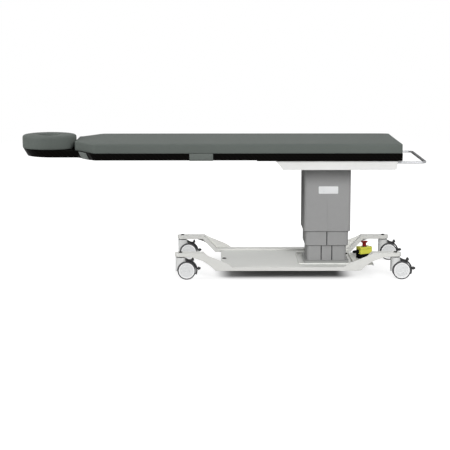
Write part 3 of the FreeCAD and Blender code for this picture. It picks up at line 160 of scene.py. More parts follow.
def makeWeaveGroup():
    # twill of crossing tows on the two directions that lie in the surface; Over is how many tows one passes
    group, given, result = newGroup("twillWeave", {"Tow": 0.004, "Over": 2.0}, ["Warp", "Height", "Gap"])
    place = addNode(group, "ShaderNodeTexCoord")
    spot = addNode(group, "ShaderNodeSeparateXYZ", {0: place.outputs["Object"]}).outputs
    facing = addNode(group, "ShaderNodeSeparateXYZ", {0: place.outputs["Normal"]}).outputs
    level = maths(group, "GREATER_THAN", maths(group, "ABSOLUTE", facing["Z"]), 0.6)
    endOn = maths(group, "GREATER_THAN", maths(group, "ABSOLUTE", facing["X"]), 0.75)
    u = maths(group, "DIVIDE", mixValues(group, endOn, spot["X"], spot["Y"]), given["Tow"])
    v = maths(group, "DIVIDE", mixValues(group, level, spot["Z"], spot["Y"]), given["Tow"])
    step = maths(group, "ADD", maths(group, "FLOOR", u), maths(group, "FLOOR", v))
    period = maths(group, "MULTIPLY", given["Over"], 2.0)
    warp = maths(group, "LESS_THAN", maths(group, "FLOORED_MODULO", step, period), given["Over"])
    roundU, roundV = [maths(group, "SINE", maths(group, "MULTIPLY", maths(group, "FRACT", way), math.pi))
                      for way in (u, v)]
    height = mixValues(group, warp, roundU, roundV)
    group.links.new(warp, result["Warp"])
    group.links.new(height, result["Height"])
    group.links.new(remap(group, height, 0.0, 0.35, 1.0, 0.0), result["Gap"])
    return group


def makeBrushGroup():
    # fine scratches drawn out along one axis
    group, given, result = newGroup("brushedLines", {"Stretch": (60.0, 4000.0, 4000.0)}, ["Lines"])
    place = addNode(group, "ShaderNodeTexCoord").outputs["Object"]
    drawn = addNode(group, "ShaderNodeVectorMath", {0: place, 1: given["Stretch"]}, operation="MULTIPLY")
    group.links.new(noise(group, drawn.outputs[0], 1.0, 3.0), result["Lines"])
    return group


edgeGroup = makeEdgeGroup()
toneGroup = makeToneGroup()
grainGroup = makeGrainGroup()
weaveGroup = makeWeaveGroup()
brushGroup = makeBrushGroup()
print("surface effects made")


# ---- materials

def startMaterial(name, **constants):
    material = bpy.data.materials.new(name)
    material.use_nodes = True
    tree = material.node_tree
    shader = tree.nodes["Principled BSDF"]
    for label, value in constants.items():
        shader.inputs[label].default_value = value
    return material, tree, shader


def darker(base, share):
    return tuple(c * share for c in base[:3]) + (1.0,)


def varied(tree, base, clouds, spread):
    # the colour made lighter and darker by the clouds, by up to the spread
    tone = remap(tree, clouds.outputs["Tone"], 0.35, 0.65, 1 - spread, 1 + spread)
    return addNode(tree, "ShaderNodeVectorMath", {0: base[:3], 1: tone}, operation="MULTIPLY").outputs[0]


def roughen(tree, shader, value, smoothest, roughest):
    rough = remap(tree, value, 0.3, 0.7, smoothest, roughest)
    tree.links.new(rough, shader.inputs["Roughness"])


def bump(tree, shader, height, strength, distance, normal=None):
    made = addNode(tree, "ShaderNodeBump", {"Height": height, "Strength": strength, "Distance": distance})
    if normal is not None:
        tree.links.new(normal, made.inputs["Normal"])
    tree.links.new(made.outputs[0], shader.inputs["Normal"])


def paintMaterial(name, base, roughness, wornColour, grainScale, settings):
    # lacquer or moulded skin: cloudy tone, slightly worn edges, orange peel or grain in the bump
    material, tree, shader = startMaterial(name, **{"Specular IOR Level": settings["specular"]})
    clouds = useGroup(tree, toneGroup, Scale=settings["cloud"], Fine=settings["cloud"] * 12)
    edges = useGroup(tree, edgeGroup, Width=settings["edge"], Breakup=90.0)
    wear = maths(tree, "MULTIPLY", edges.outputs["Mask"], settings["wear"])
    worn = mixColours(tree, wear, varied(tree, base, clouds, settings["tone"]), wornColour)
    tree.links.new(worn, shader.inputs["Base Color"])
    roughen(tree, shader, clouds.outputs["Tone"], roughness - 0.05, roughness + 0.05)
    grain = useGroup(tree, grainGroup, Scale=grainScale, Crease=0.3)
    bump(tree, shader, grain.outputs["Height"], settings["bump"], 0.0004, edges.outputs["Normal"])
    return material


plainFinish = {"specular": 0.35, "cloud": 3.0, "tone": 0.025, "edge": 0.0008, "wear": 0.35, "bump": 0.08}
finishes = {
    # name: colour, roughness, colour where worn, scale of the grain, settings that differ from the plain ones
    "baseWhite": ((223, 223, 219), 0.42, (204, 204, 200), 420.0, {"edge": 0.0025}),
    "trayWhite": ((226, 227, 223), 0.5, (232, 232, 229), 500.0, {}),
    "shroudGrey": ((158, 158, 158), 0.55, (176, 176, 176), 900.0, {"specular": 0.0}),
    "panWhite": ((227, 227, 225), 0.4, (214, 214, 212), 350.0, {}),
    # the foot plate in the well round the column is a darker grey: painted shade of the recess
    "footShadeGrey": ((150, 151, 149), 0.5, (172, 172, 170), 500.0, {}),
    "casterWhite": ((222, 223, 222), 0.45, (204, 204, 203), 800.0, {}),
    "wheelWhite": ((231, 232, 232), 0.42, (205, 205, 205), 900.0, {}),
    "rimWhite": ((252, 252, 252), 0.42, (226, 226, 226), 900.0, {}),
    "blackPlastic": ((34, 34, 35), 0.5, (62, 62, 62), 1100.0, {"bump": 0.2}),
    "tyreRubber": ((78, 78, 80), 0.72, (88, 88, 88), 800.0, {"bump": 0.3}),
    "stopYellow": ((218, 218, 78), 0.42, (232, 232, 150), 1200.0, {}),
    "stopRed": ((134, 32, 30), 0.45, (150, 66, 60), 1200.0, {"specular": 0.1}),
    "gripFoam": ((132, 132, 133), 0.85, (148, 148, 148), 1400.0, {"bump": 0.5}),
    "plateWhite": ((228, 229, 230), 0.3, (190, 190, 190), 1500.0, {}),
    # near black for the e-stop's seal and screws, and for the strips of painted shade in the column's grooves
    "sealBlack": ((58, 58, 59), 0.7, (84, 84, 84), 1200.0, {}),
    "wiperGrey": ((142, 142, 142), 0.7, (150, 150, 150), 1200.0, {"specular": 0.0}),
    "capBlack": ((20, 20, 21), 0.6, (40, 40, 40), 1300.0, {"specular": 0.0}),
    "threadGrey": ((84, 89, 86), 0.8, (110, 114, 111), 2400.0, {}),
    "motorGrey": ((92, 94, 97), 0.5, (140, 140, 140), 500.0, {}),
}
materials = {name: paintMaterial(name, colour(*base), roughness, colour(*worn), grain, plainFinish | changes)
             for name, (base, roughness, worn, grain, changes) in finishes.items()}


def padMaterial(name, base):
    # coated upholstery cloth: pebbled grain with painted shade in its creases, a soft sheen
    constants = {"Sheen Weight": 0.03, "Sheen Roughness": 0.4, "Specular IOR Level": 0.01}
    material, tree, shader = startMaterial(name, **constants)
    clouds = useGroup(tree, toneGroup, Scale=2.2, Fine=26.0)
    grain = useGroup(tree, grainGroup, Scale=620.0, Crease=0.4)
    depth = maths(tree, "MULTIPLY", grain.outputs["Creases"], 0.5)
    creased = mixColours(tree, depth, varied(tree, base, clouds, 0.05), darker(base, 0.72))
    tree.links.new(creased, shader.inputs["Base Color"])
    roughen(tree, shader, clouds.outputs["Tone"], 0.53, 0.67)
    bump(tree, shader, grain.outputs["Height"], 0.35, 0.0005)
    return material


def webbingMaterial(name, base):
    # plain-woven webbing, with painted shade between its threads
    material, tree, shader = startMaterial(name, **{"Sheen Weight": 0.1, "Sheen Roughness": 0.5})
    weave = useGroup(tree, weaveGroup, Tow=0.0016, Over=1.0)
    clouds = useGroup(tree, toneGroup, Scale=9.0, Fine=200.0)
    depth = maths(tree, "MULTIPLY", weave.outputs["Gap"], 0.6)
    woven = mixColours(tree, depth, varied(tree, base, clouds, 0.06), darker(base, 0.6))
    tree.links.new(woven, shader.inputs["Base Color"])
    roughen(tree, shader, clouds.outputs["Tone"], 0.7, 0.85)
    bump(tree, shader, weave.outputs["Height"], 0.5, 0.0006)
    return material


def carbonMaterial(name):
    # clear-coated carbon twill: the tows lighter one way than the other are a painted sheen, and the near-black
    # gaps between tows are painted shade
    warp, weft, gap = colour(14, 12, 11), colour(7, 6, 5), colour(3, 3, 2)
    constants = {"Coat Weight": 0.015, "Coat Roughness": 0.12, "Specular IOR Level": 0.01}
    material, tree, shader = startMaterial(name, **constants)
    weave = useGroup(tree, weaveGroup, Tow=0.006, Over=2.0)
    fibres = useGroup(tree, toneGroup, Scale=60.0, Fine=900.0)
    tows = mixColours(tree, weave.outputs["Warp"], weft, warp)
    lit = mixColours(tree, maths(tree, "MULTIPLY", fibres.outputs["Tone"], 0.35), tows, gap)
    shown = mixColours(tree, weave.outputs["Gap"], lit, gap)
    tree.links.new(shown, shader.inputs["Base Color"])
    rough = remap(tree, weave.outputs["Warp"], 0.0, 1.0, 0.5, 0.34)
    tree.links.new(rough, shader.inputs["Roughness"])
    bump(tree, shader, weave.outputs["Height"], 0.12, 0.0004)
    return material


def steelMaterial(name, base, roughness, stretch):
    # bare steel with fine lines along the axis that is stretched least
    material, tree, shader = startMaterial(name, Metallic=1.0)
    brushed = useGroup(tree, brushGroup, Stretch=stretch)
    clouds = useGroup(tree, toneGroup, Scale=12.0, Fine=160.0)
    depth = maths(tree, "MULTIPLY", brushed.outputs["Lines"], 0.5)
    tree.links.new(mixColours(tree, depth, base, darker(base, 0.7)), shader.inputs["Base Color"])
    lines = remap(tree, brushed.outputs["Lines"], 0.3, 0.7, roughness - 0.06, roughness + 0.08)
    soiled = maths(tree, "MULTIPLY_ADD", clouds.outputs["Tone"], 0.1, lines)
    tree.links.new(soiled, shader.inputs["Roughness"])
    bump(tree, shader, brushed.outputs["Lines"], 0.1, 0.0002)
    return material


materials["padVinyl"] = padMaterial("padVinyl", colour(104, 110, 106))
materials["strapWebbing"] = webbingMaterial("strapWebbing", colour(98, 104, 100))
materials["carbonTwill"] = carbonMaterial("carbonTwill")
materials["brushedSteel"] = steelMaterial("brushedSteel", colour(158, 159, 161), 0.42, (60.0, 3000.0, 3000.0))
materials["bareSteel"] = steelMaterial("bareSteel", colour(170, 171, 174), 0.4, (1500.0, 1500.0, 40.0))
print("materials made:", len(materials))

corners = ("head_near", "head_far", "foot_near", "foot_far")
cadFinishes = {
    "baseWhite": ["side_rail_near", "side_rail_far", "cross_bar_head", "cross_bar_middle", "base_plate"],
    "trayWhite": ["base_tray"],
    "footShadeGrey": ["column_foot_plate"],
    "shroudGrey": ["lower_shroud", "middle_shroud", "upper_shroud"],
    "panWhite": ["support_pan", "handle_bushes"],
    "carbonTwill": ["carbon_top"],
    "brushedSteel": ["handle_rod"],
    "bareSteel": ["caster_stems", "column_tube_lower", "column_tube_middle", "column_tube_upper", "lift_screw",
                  "lift_nut_tube", "column_head_plate"],
    "blackPlastic": ["caster_collars", "tray_plug", "foot_gland", "estop_base", "estop_gland",
                     "control_box", "caster_bolt_caps", *(f"caster_{key}_pedal" for key in corners)],
    "casterWhite": [f"caster_{key}_housing" for key in corners],
    "wheelWhite": [f"caster_{key}_wheel_{side}" for key in corners for side in ("near", "far")],
    "motorGrey": ["lift_motor"],
    "stopYellow": ["estop_box"],
    "stopRed": ["estop_cap", "estop_stem"],
    "gripFoam": ["handle_grip"],
    "padVinyl": ["main_pad", "head_ring"],
    "strapWebbing": ["side_strap_near", "side_strap_far", "corner_strap_near", "corner_strap_far"],
}
for finish, names in cadFinishes.items():
    for name in names:
        for slot in nodes[name].material_slots:
            slot.link = "OBJECT"
            slot.material = materials[finish]
print("CAD nodes dressed")


# ---- pieces

# distances at which points merge and planes cut, and the angle from which an edge is sharp
tolerances = {"merge": 1e-6, "cut": 1e-5, "sharp": 0.9}


def keepPiece(name, bm, body, finish, replaced=(), smoothBelow=35.0):
    # turns a bmesh into a piece of the object; finish is one material name or one for each material index
    mesh = bpy.data.meshes.new(name)
    bm.to_mesh(mesh)
    bm.free()
    mesh.shade_smooth()
    mesh.set_sharp_from_angle(angle=math.radians(smoothBelow))
    piece = placeObject(name, mesh)
    for one in [finish] if isinstance(finish, str) else finish:
        mesh.materials.append(materials[one])
    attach(piece, body)
    if replaced:
        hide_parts(*replaced)
    return piece


def spinProfile(bm, profile, centre, axis, away, steps=64, materialIndex=0):
    # turns (radius, height) points about the axis through centre; away is the direction of radius
    before = set(bm.faces)
    points = [bm.verts.new(centre + away * radius + axis * height) for radius, height in profile]
    edges = [bm.edges.new(pair) for pair in zip(points, points[1:])]
    bmesh.ops.spin(bm, geom=points + edges, cent=centre, axis=axis, dvec=(0, 0, 0),
                   angle=2 * math.pi, steps=steps, use_merge=True)
    bmesh.ops.remove_doubles(bm, verts=bm.verts[:], dist=tolerances["merge"])
    for face in bm.faces:
        if face not in before:
            face.material_index = materialIndex
    bmesh.ops.recalc_face_normals(bm, faces=bm.faces[:])


def addLoop(bm, outline, level, cornerRadius, cornerSegments):
    # face over an outline with rounded corners
    before = set(bm.faces)
    ring = [bm.verts.new((x, y, level)) for x, y in outline]
    bm.faces.new(ring)
    if cornerRadius:
        bmesh.ops.bevel(bm, geom=ring, offset=cornerRadius, offset_type="OFFSET", affect="VERTICES",
                        segments=cornerSegments, profile=0.5, material=-1)
    return [face for face in bm.faces if face not in before]


def raiseFaces(bm, flat, height, edge, materialIndex, place):
    # gives flat faces a height, rounds the sharp rims by edge, and puts them in place
    before = set(bm.verts)
    own = {vert for face in flat for vert in face.verts}
    grown = bmesh.ops.extrude_face_region(bm, geom=flat)
    raised = [item for item in grown["geom"] if isinstance(item, bmesh.types.BMVert)]
    bmesh.ops.translate(bm, verts=raised, vec=(0, 0, height))
    own |= {vert for vert in bm.verts if vert not in before}
    made = list({face for vert in own for face in vert.link_faces})
    bmesh.ops.recalc_face_normals(bm, faces=made)
    if edge:
        sides = {side for vert in own for side in vert.link_edges}
        sharp = [side for side in sides if side.calc_face_angle(0) > tolerances["sharp"]]
        shaped = bmesh.ops.bevel(bm, geom=sharp, offset=edge, offset_type="OFFSET", affect="EDGES",
                                 segments=3, profile=0.5, material=-1)
        own = {vert for vert in own if vert.is_valid} | set(shaped["verts"])
    own |= {vert for face in {face for vert in own for face in vert.link_faces} for vert in face.verts}
    for face in {face for vert in own for face in vert.link_faces}:
        face.material_index = materialIndex
    bmesh.ops.transform(bm, matrix=place, verts=list(own))


def addPlate(bm, outline, bottom, top, cornerRadius, cornerSegments=5, edge=0.0, place=Matrix()):
    # prism over an outline with rounded corners
    flat = addLoop(bm, outline, bottom, cornerRadius, cornerSegments)
    raiseFaces(bm, flat, top - bottom, edge, 0, place)


def addFrame(bm, outer, inner, bottom, top, radii, edge=0.0, materialIndex=0, place=Matrix()):
    # flat frame between two outlines with rounded corners
    loops = []
    for outline, radius in zip((outer, inner), radii):
        faces = addLoop(bm, outline, bottom, radius, 8)
        loops += list({side for face in faces for side in face.edges})
        bmesh.ops.delete(bm, geom=faces, context="FACES_ONLY")
    flat = bmesh.ops.bridge_loops(bm, edges=loops)["faces"]
    raiseFaces(bm, flat, top - bottom, edge, materialIndex, place)


def oblong(length, width, x=0.0, y=0.0):
    return [(x - length / 2, y - width / 2), (x + length / 2, y - width / 2),
            (x + length / 2, y + width / 2), (x - length / 2, y + width / 2)]


def roundLoop(radius, count=32):
    return [(radius * math.cos(2 * math.pi * i / count), radius * math.sin(2 * math.pi * i / count))
            for i in range(count)]


xAxis, yAxis, zAxis = Vector((1, 0, 0)), Vector((0, 1, 0)), Vector((0, 0, 1))
# stands a flat shape up, so that its height points to the near side
upright = Matrix.Rotation(math.radians(90), 4, "X")


# ---- caster wheels: rubber tyre, dished disc and hub cap

wheelShape = {"steps": 96,
              # distance from the axle, distance from the wheel's inner side
              "tyre": [(0.0441, 0.0012), (0.0465, 0.0), (0.04895, 0.00105), (0.05, 0.0035), (0.05, 0.0165),
                       (0.04895, 0.01895), (0.0465, 0.02), (0.0453, 0.02), (0.0441, 0.0188), (0.0441, 0.01),
                       (0.0441, 0.0012)],
              "rim": [(0.0042, 0.001), (0.0401, 0.001), (0.0441, 0.003), (0.0441, 0.0178), (0.0426, 0.0192),
                      (0.0401, 0.0192), (0.0376, 0.0184)],
              "face": [(0.0376, 0.0184), (0.0328, 0.0184), (0.032, 0.017), (0.03, 0.017), (0.0292, 0.0184),
                       (0.0172, 0.0184), (0.0165, 0.017), (0.0155, 0.017), (0.015, 0.019), (0.012, 0.0192),
                       (0.0097, 0.018), (0.0085, 0.018), (0.0079, 0.0196), (0.00425, 0.0199), (0.0, 0.0199)]}


def makeWheel(key, side):
    name = f"caster_{key}_wheel_{side}"
    low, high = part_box(name)
    outward = -yAxis if side == "near" else yAxis
    # the wheel's inner side lies on the side of its twin
    innerY = high.y if side == "near" else low.y
    centre = Vector(((low.x + high.x) / 2, innerY, (low.z + high.z) / 2))
    bm = bmesh.new()
    for index, part in enumerate(("tyre", "rim", "face")):
        spinProfile(bm, wheelShape[part], centre, outward, zAxis, wheelShape["steps"], index)
    return keepPiece(f"wheel_{key}_{side}", bm, f"wheel_{key}_{side}", ["tyreRubber", "rimWhite", "wheelWhite"],
                     [name], 30.0)


wheels = [makeWheel(key, side) for key in corners for side in ("near", "far")]
print("wheels made:", len(wheels))


# ---- main pad

padShape = {"inset": 0.0025, "clearance": 0.0005, "cornerRadius": 0.012, "grid": 0.016, "sideRows": 4,
            "neck": 0.018, "headHalf": 0.156, "shoulderX": -0.7, "footInset": 0.0005,
            "crease": 0.75, "seamAngle": 1.0, "seamHold": 0.92, "heldHeight": 0.0001,
            "pressure": 4.0, "cap": 0.004, "frames": 20}
clothSettings = {"quality": 6, "mass": 0.3, "tension_stiffness": 12, "compression_stiffness": 12,
                 "shear_stiffness": 6, "bending_stiffness": 2.5, "use_pressure": True}


def padOutline(inset):
    # the pad's plan, anticlockwise from the head end's near corner
    low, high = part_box("main_pad")
    s = padShape
    half = high.y - inset
    head = s["headHalf"] - inset
    side = [(low.x + inset, head), (low.x + s["neck"], head), (s["shoulderX"], half),
            (high.x - s["footInset"], half)]
    return [(x, -y) for x, y in side] + [(x, y) for x, y in reversed(side)]


def cutGrid(bm, axis, start, end, spacing):
    # cuts the mesh by evenly spaced planes across one axis
    count = max(1, round((end - start) / spacing))
    for i in range(1, count):
        spot = axis * (start + (end - start) * i / count)
        bmesh.ops.bisect_plane(bm, geom=bm.verts[:] + bm.edges[:] + bm.faces[:], dist=tolerances["cut"],
                               plane_co=spot, plane_no=axis)


def inflate(piece, isHeld, settings):
    # short cloth simulation under inner pressure; held points stay, and no point moves further than the cap
    mesh = piece.data
    start = [v.co.copy() for v in mesh.vertices]
    held = piece.vertex_groups.new(name="held")
    for vertex in mesh.vertices:
        held.add([vertex.index], isHeld(vertex.co), "REPLACE")
    cloth = piece.modifiers.new("cloth", "CLOTH")
    for label, value in clothSettings.items():
        setattr(cloth.settings, label, value)
    cloth.settings.uniform_pressure_force = settings["pressure"]
    cloth.settings.vertex_group_mass = "held"
    cloth.settings.effector_weights.gravity = 0
    cloth.collision_settings.use_collision = False
    cloth.point_cache.frame_end = settings["frames"]
    for step in range(1, settings["frames"] + 1):
        bpy.context.scene.frame_set(step)
    swollen = piece.evaluated_get(bpy.context.evaluated_depsgraph_get())
    moved = [v.co.copy() for v in swollen.to_mesh().vertices]
    swollen.to_mesh_clear()
    piece.modifiers.remove(cloth)
    bpy.context.scene.frame_set(1)
    cap = settings["cap"]
    for vertex, before, after in zip(mesh.vertices, start, moved):
        shift = after - before
        if shift.length > 1e-9:
            vertex.co = before + shift.normalized() * cap * math.tanh(shift.length / cap)
    piece.vertex_groups.remove(held)


def finishPad(piece, isHeld, settings):
    inflate(piece, isHeld, settings)
    soften = piece.modifiers.new("soften", "SUBSURF")
    soften.levels = soften.render_levels = 1


def rounded(co):
    return tuple(round(value, 5) for value in co)


def makeMainPad():
    s = padShape
    low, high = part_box("main_pad")
    bottom, top = low.z + s["clearance"], high.z - s["inset"]
    bm = bmesh.new()
    addPlate(bm, padOutline(s["inset"]), bottom, top, s["cornerRadius"])
    cutGrid(bm, xAxis, low.x, high.x, s["grid"])
    cutGrid(bm, yAxis, low.y, high.y, s["grid"])
    cutGrid(bm, zAxis, bottom, top, (top - bottom) / s["sideRows"])
    crease = bm.edges.layers.float.new("crease_edge")
    for edge in bm.edges:
        level = {round(v.co.z, 5) for v in edge.verts}
        atSeam = level in ({round(top, 5)}, {round(bottom, 5)})
        if atSeam and edge.calc_face_angle(0) > s["seamAngle"]:
            edge[crease] = s["crease"]
    bmesh.ops.triangulate(bm, faces=[f for f in bm.faces if len(f.verts) > 4])
    seams = {rounded(v.co) for e in bm.edges if e[crease] for v in e.verts}
    piece = keepPiece("mainPad", bm, "top", "padVinyl", ["main_pad"], 180.0)

    def isHeld(co):
        if co.z < bottom + s["heldHeight"]:
            return 1.0
        return s["seamHold"] if rounded(co) in seams else 0.0

    finishPad(piece, isHeld, s)


makeMainPad()
print("main pad made")


# ---- head cushion ring

ringShape = {"inset": 0.0015, "holeRadius": 0.052, "steps": 96, "outerBevel": 0.012, "innerBevel": 0.011,
             "bevelSteps": 4, "holeFoot": 0.003, "heldHeight": 0.002, "heldWidth": 0.001,
             # distance inward from the rim, height
             "foot": [(0.06, 0.0005), (0.03, 0.0005), (0.006, 0.0007), (0.0015, 0.0035), (0.0, 0.009)],
             # distance inward from the rim's bevel, rise over the edge
             "crown": [(0.012, 0.0007), (0.03, 0.0012), (0.05, 0.0008)],
             # shares of the height at which the walls have points
             "outerRings": (0.3, 0.45, 0.6, 0.72), "innerRings": (0.6, 0.35),
             "pressure": 4.0, "cap": 0.003, "frames": 20}


def makeHeadRing():
    s = ringShape
    low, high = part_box("head_ring")
    centre = Vector(((low.x + high.x) / 2, (low.y + high.y) / 2, low.z))
    outer = (high.y - low.y) / 2 - s["inset"]
    hole = s["holeRadius"] + s["inset"]
    height = high.z - low.z - s["inset"]
    out, inn, foot = s["outerBevel"], s["innerBevel"], s["holeFoot"]
    turns = [math.radians(90 / s["bevelSteps"] * i) for i in range(s["bevelSteps"] + 1)]
    profile = [(hole, foot), (hole + foot, s["foot"][0][1])]
    profile += [(outer - inward, level) for inward, level in s["foot"]]
    profile += [(outer, height * share) for share in s["outerRings"]]
    profile += [(outer - out + out * math.cos(turn), height - out + out * math.sin(turn)) for turn in turns]
    profile += [(outer - out - inward, height + rise) for inward, rise in s["crown"]]
    profile += [(hole + inn - inn * math.sin(turn), height - inn + inn * math.cos(turn)) for turn in turns]
    profile += [(hole, height * share) for share in s["innerRings"]] + [(hole, foot)]
    bm = bmesh.new()
    spinProfile(bm, profile, centre, zAxis, xAxis, s["steps"])
    piece = keepPiece("headRing", bm, "top", "padVinyl", ["head_ring"], 180.0)

    def isHeld(co):
        radius = math.hypot(co.x - centre.x, co.y - centre.y)
        return 1.0 if co.z < centre.z + s["heldHeight"] or radius < hole + s["heldWidth"] else 0.0

    finishPad(piece, isHeld, s)


makeHeadRing()
print("head ring made")


# ---- label plate on the column, left blank

plateShape = {"x": (0.540, 0.649), "z": (0.452, 0.4935), "thickness": 0.0012, "cornerRadius": 0.004,
              "edge": 0.0003}


def makeLabelPlate():
    s = plateShape
    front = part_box("upper_shroud")[0].y
    bm = bmesh.new()
    (x0, x1), (z0, z1) = s["x"], s["z"]
    addPlate(bm, [(x0, z0), (x1, z0), (x1, z1), (x0, z1)], -front, s["thickness"] - front, s["cornerRadius"],
             edge=s["edge"], place=upright)
    keepPiece("labelPlate", bm, "top", "plateWhite", smoothBelow=40.0)


makeLabelPlate()
print("label plate made")


# ---- column: wipers between the shrouds, and dark strips in the grooves that are painted shade

columnShape = {"axis": 0.5896, "lip": 0.003, "height": 0.009, "slack": 0.0005, "corners": (0.0147, 0.0205),
               "edge": 0.0008, "strip": 0.0052, "depth": 0.0014, "endGap": 0.001, "stripCorner": 0.0004,
               # shroud that carries the wiper: its inner size, the next shroud's outer size, body
               "wipers": {"upper_shroud": ((0.253, 0.260), (0.242, 0.249), "top"),
                          "middle_shroud": ((0.232, 0.239), (0.221, 0.228), "mid_stage")},
               # grooves: offsets from the axis, distance of their floor from the column's middle, body
               "grooves": {"lower_shroud": ((-0.03, 0.03), 0.1105, "base"),
                           "middle_shroud": ((0.0,), 0.1210, "mid_stage")}}


def makeWiper(node):
    s = columnShape
    inner, following, body = s["wipers"][node]
    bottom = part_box(node)[0].z - s["lip"]
    slack = s["slack"]
    bm = bmesh.new()
    addFrame(bm, oblong(inner[0] - slack, inner[1] - slack),
             oblong(following[0] + 2 * slack, following[1] + 2 * slack),
             bottom, bottom + s["height"], s["corners"], s["edge"],
             place=Matrix.Translation((s["axis"], 0, 0)))
    keepPiece(f"wiper_{node}", bm, body, "wiperGrey", smoothBelow=40.0)


# near-black strips on the groove floors: painted shade where the grooves are shaded
def makeGrooveShadeStrips(node):
    s = columnShape
    offsets, floor, body = s["grooves"][node]
    low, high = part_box(node)
    bm = bmesh.new()
    for offset in offsets:
        for side in (-1, 1):
            middle = side * (floor + s["depth"] / 2)
            addPlate(bm, oblong(s["strip"], s["depth"], s["axis"] + offset, middle), low.z + s["endGap"],
                     high.z - s["endGap"], s["stripCorner"], 2)
    keepPiece(f"grooveShadeStrips_{node}", bm, body, "sealBlack", smoothBelow=40.0)


for node in columnShape["wipers"]:
    makeWiper(node)
for node in columnShape["grooves"]:
    makeGrooveShadeStrips(node)
print("wipers and groove strips made")


# ---- straps

strapShape = {"thickness": 0.0022, "cuts": 0.005, "ripple": 0.0002, "rippleRate": 190, "height": 0.0375,
              "hem": 0.0004, "cornerSpot": (-0.765, 0.239), "sideY": 0.313,
              # distance outward from the top's edge, height over its underside
              "path": [(0.0015, 0.0374), (0.0018, 0.028), (0.0017, 0.014), (0.001, 0.0055), (-0.001, 0.0005),
                       (-0.004, -0.0016), (-0.012, -0.0018), (-0.0415, -0.0018)],
              # stitches: size, corner, distance outward, how far they are sunk and proud
              "stitch": (0.0007, 0.003), "stitchCorner": 0.0003, "stitchOut": 0.0016, "sunk": 0.0006,
              "proud": 0.0004,
              # spacing of the stitches, distances of their rows from the strap's ends, lowest and highest place
              "pitch": 0.0048, "rows": (0.004, 0.0075), "stitches": (0.008, 0.034)}
shoulderTurn = math.degrees(math.atan2(0.148, 0.1))
straps = {
    # node: width, turn, how much further in its lower edge lies
    "side_strap_near": (0.128, 0, 0.005),
    "side_strap_far": (0.128, 180, 0.005),
    "corner_strap_near": (0.084, -shoulderTurn, 0.0194),
    "corner_strap_far": (0.084, 180 + shoulderTurn, 0.0194),
}


def strapPlace(node, turn):
    # the strap's own frame: its middle along the edge, outward at -Y
    s = strapShape
    low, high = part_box(node)
    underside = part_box("carbon_top")[1].z - s["height"]
    side = -1 if (low.y + high.y) < 0 else 1
    if "corner" in node:
        x, y = s["cornerSpot"]
    else:
        x, y = (low.x + high.x) / 2, s["sideY"]
    return Matrix.Translation((x, side * y, underside)) @ Matrix.Rotation(math.radians(turn), 4, "Z")


def makeStrap(node, width, turn, lean):
    s = strapShape
    place = strapPlace(node, turn)
    bm = bmesh.new()
    inmost = s["path"][-1][0]

    def outward(out, up):
        return max(out - lean * (1 - min(max(up / s["height"], 0), 1)), inmost)

    spots = [bm.verts.new((-width / 2, -outward(out, up), up)) for out, up in s["path"]]
    line = [bm.edges.new(pair) for pair in zip(spots, spots[1:])]
    grown = bmesh.ops.extrude_edge_only(bm, edges=line)
    far = [item for item in grown["geom"] if isinstance(item, bmesh.types.BMVert)]
    bmesh.ops.translate(bm, verts=far, vec=(width, 0, 0))
    cutGrid(bm, xAxis, -width / 2, width / 2, s["cuts"])
    for vert in bm.verts:
        vert.co.y -= s["ripple"] * math.sin(vert.co.x * s["rippleRate"])
    bmesh.ops.recalc_face_normals(bm, faces=bm.faces[:])
    bmesh.ops.transform(bm, matrix=place, verts=bm.verts[:])
    strap = keepPiece(f"strap_{node}", bm, "top", "strapWebbing", [node], 180.0)
    wall = strap.modifiers.new("wall", "SOLIDIFY")
    wall.thickness = s["thickness"]
    wall.offset = 0.0
    hem = strap.modifiers.new("hem", "BEVEL")
    hem.width = s["hem"]
    hem.segments = 2
    hem.limit_method = "ANGLE"
    stitching = bmesh.new()
    across, along = s["stitch"]
    first, last = s["stitches"]
    for i in range(int((last - first) / s["pitch"]) + 1):
        level = first + i * s["pitch"]
        skin = s["thickness"] / 2 + outward(s["stitchOut"], level)
        for row in s["rows"]:
            for side in (-1, 1):
                addPlate(stitching, oblong(across, along, side * (width / 2 - row), level), skin - s["sunk"],
                         skin + s["proud"], s["stitchCorner"], 2, place=place @ upright)
    keepPiece(f"stitches_{node}", stitching, "top", "threadGrey", smoothBelow=40.0)


for node, (width, turn, lean) in straps.items():
    makeStrap(node, width, turn, lean)
print("straps made")


# ---- handle grip

gripShape = {"radius": 0.0079, "bore": 0.0061, "lip": 0.0016, "lipRound": 0.3, "endInset": 0.0004, "steps": 40,
             # rings pressed in near each end
             "rings": 3, "firstRing": 0.006, "ringPitch": 0.006, "ringHalf": 0.0012, "ringDepth": 0.0004}


def makeGrip():
    s = gripShape
    low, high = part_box("handle_grip")
    half = (high.y - low.y) / 2 - s["endInset"]
    r, lip = s["radius"], s["lip"]
    part = lip * s["lipRound"]
    end = [(s["bore"], half), (r - lip, half), (r - part, half - part), (r, half - lip)]
    for i in range(s["rings"]):
        spot = half - s["firstRing"] - i * s["ringPitch"]
        end += [(r, spot + s["ringHalf"]), (r - s["ringDepth"], spot), (r, spot - s["ringHalf"])]
    profile = end + [(radius, -height) for radius, height in reversed(end)] + [(s["bore"], half)]
    bm = bmesh.new()
    spinProfile(bm, profile, (low + high) / 2, yAxis, xAxis, s["steps"])
    keepPiece("gripSleeve", bm, "top", "gripFoam", ["handle_grip"], 50.0)


makeGrip()
print("grip made")


# ---- caps on the arms and the plug in the tray

capShape = {"radius": 0.01, "capSteps": 40, "plugSteps": 48,
            "cap": [(0.0, 0.0), (0.01, 0.0), (0.01, 0.0016), (0.0094, 0.0033), (0.0078, 0.0043),
                    (0.0045, 0.0048), (0.0, 0.0049)],
            "plug": [(0.0, 0.0), (0.0084, 0.0), (0.0089, 0.0008), (0.0089, 0.009), (0.0115, 0.009),
                     (0.0115, 0.0106), (0.0105, 0.0123), (0.0075, 0.0132), (0.0, 0.0135)]}


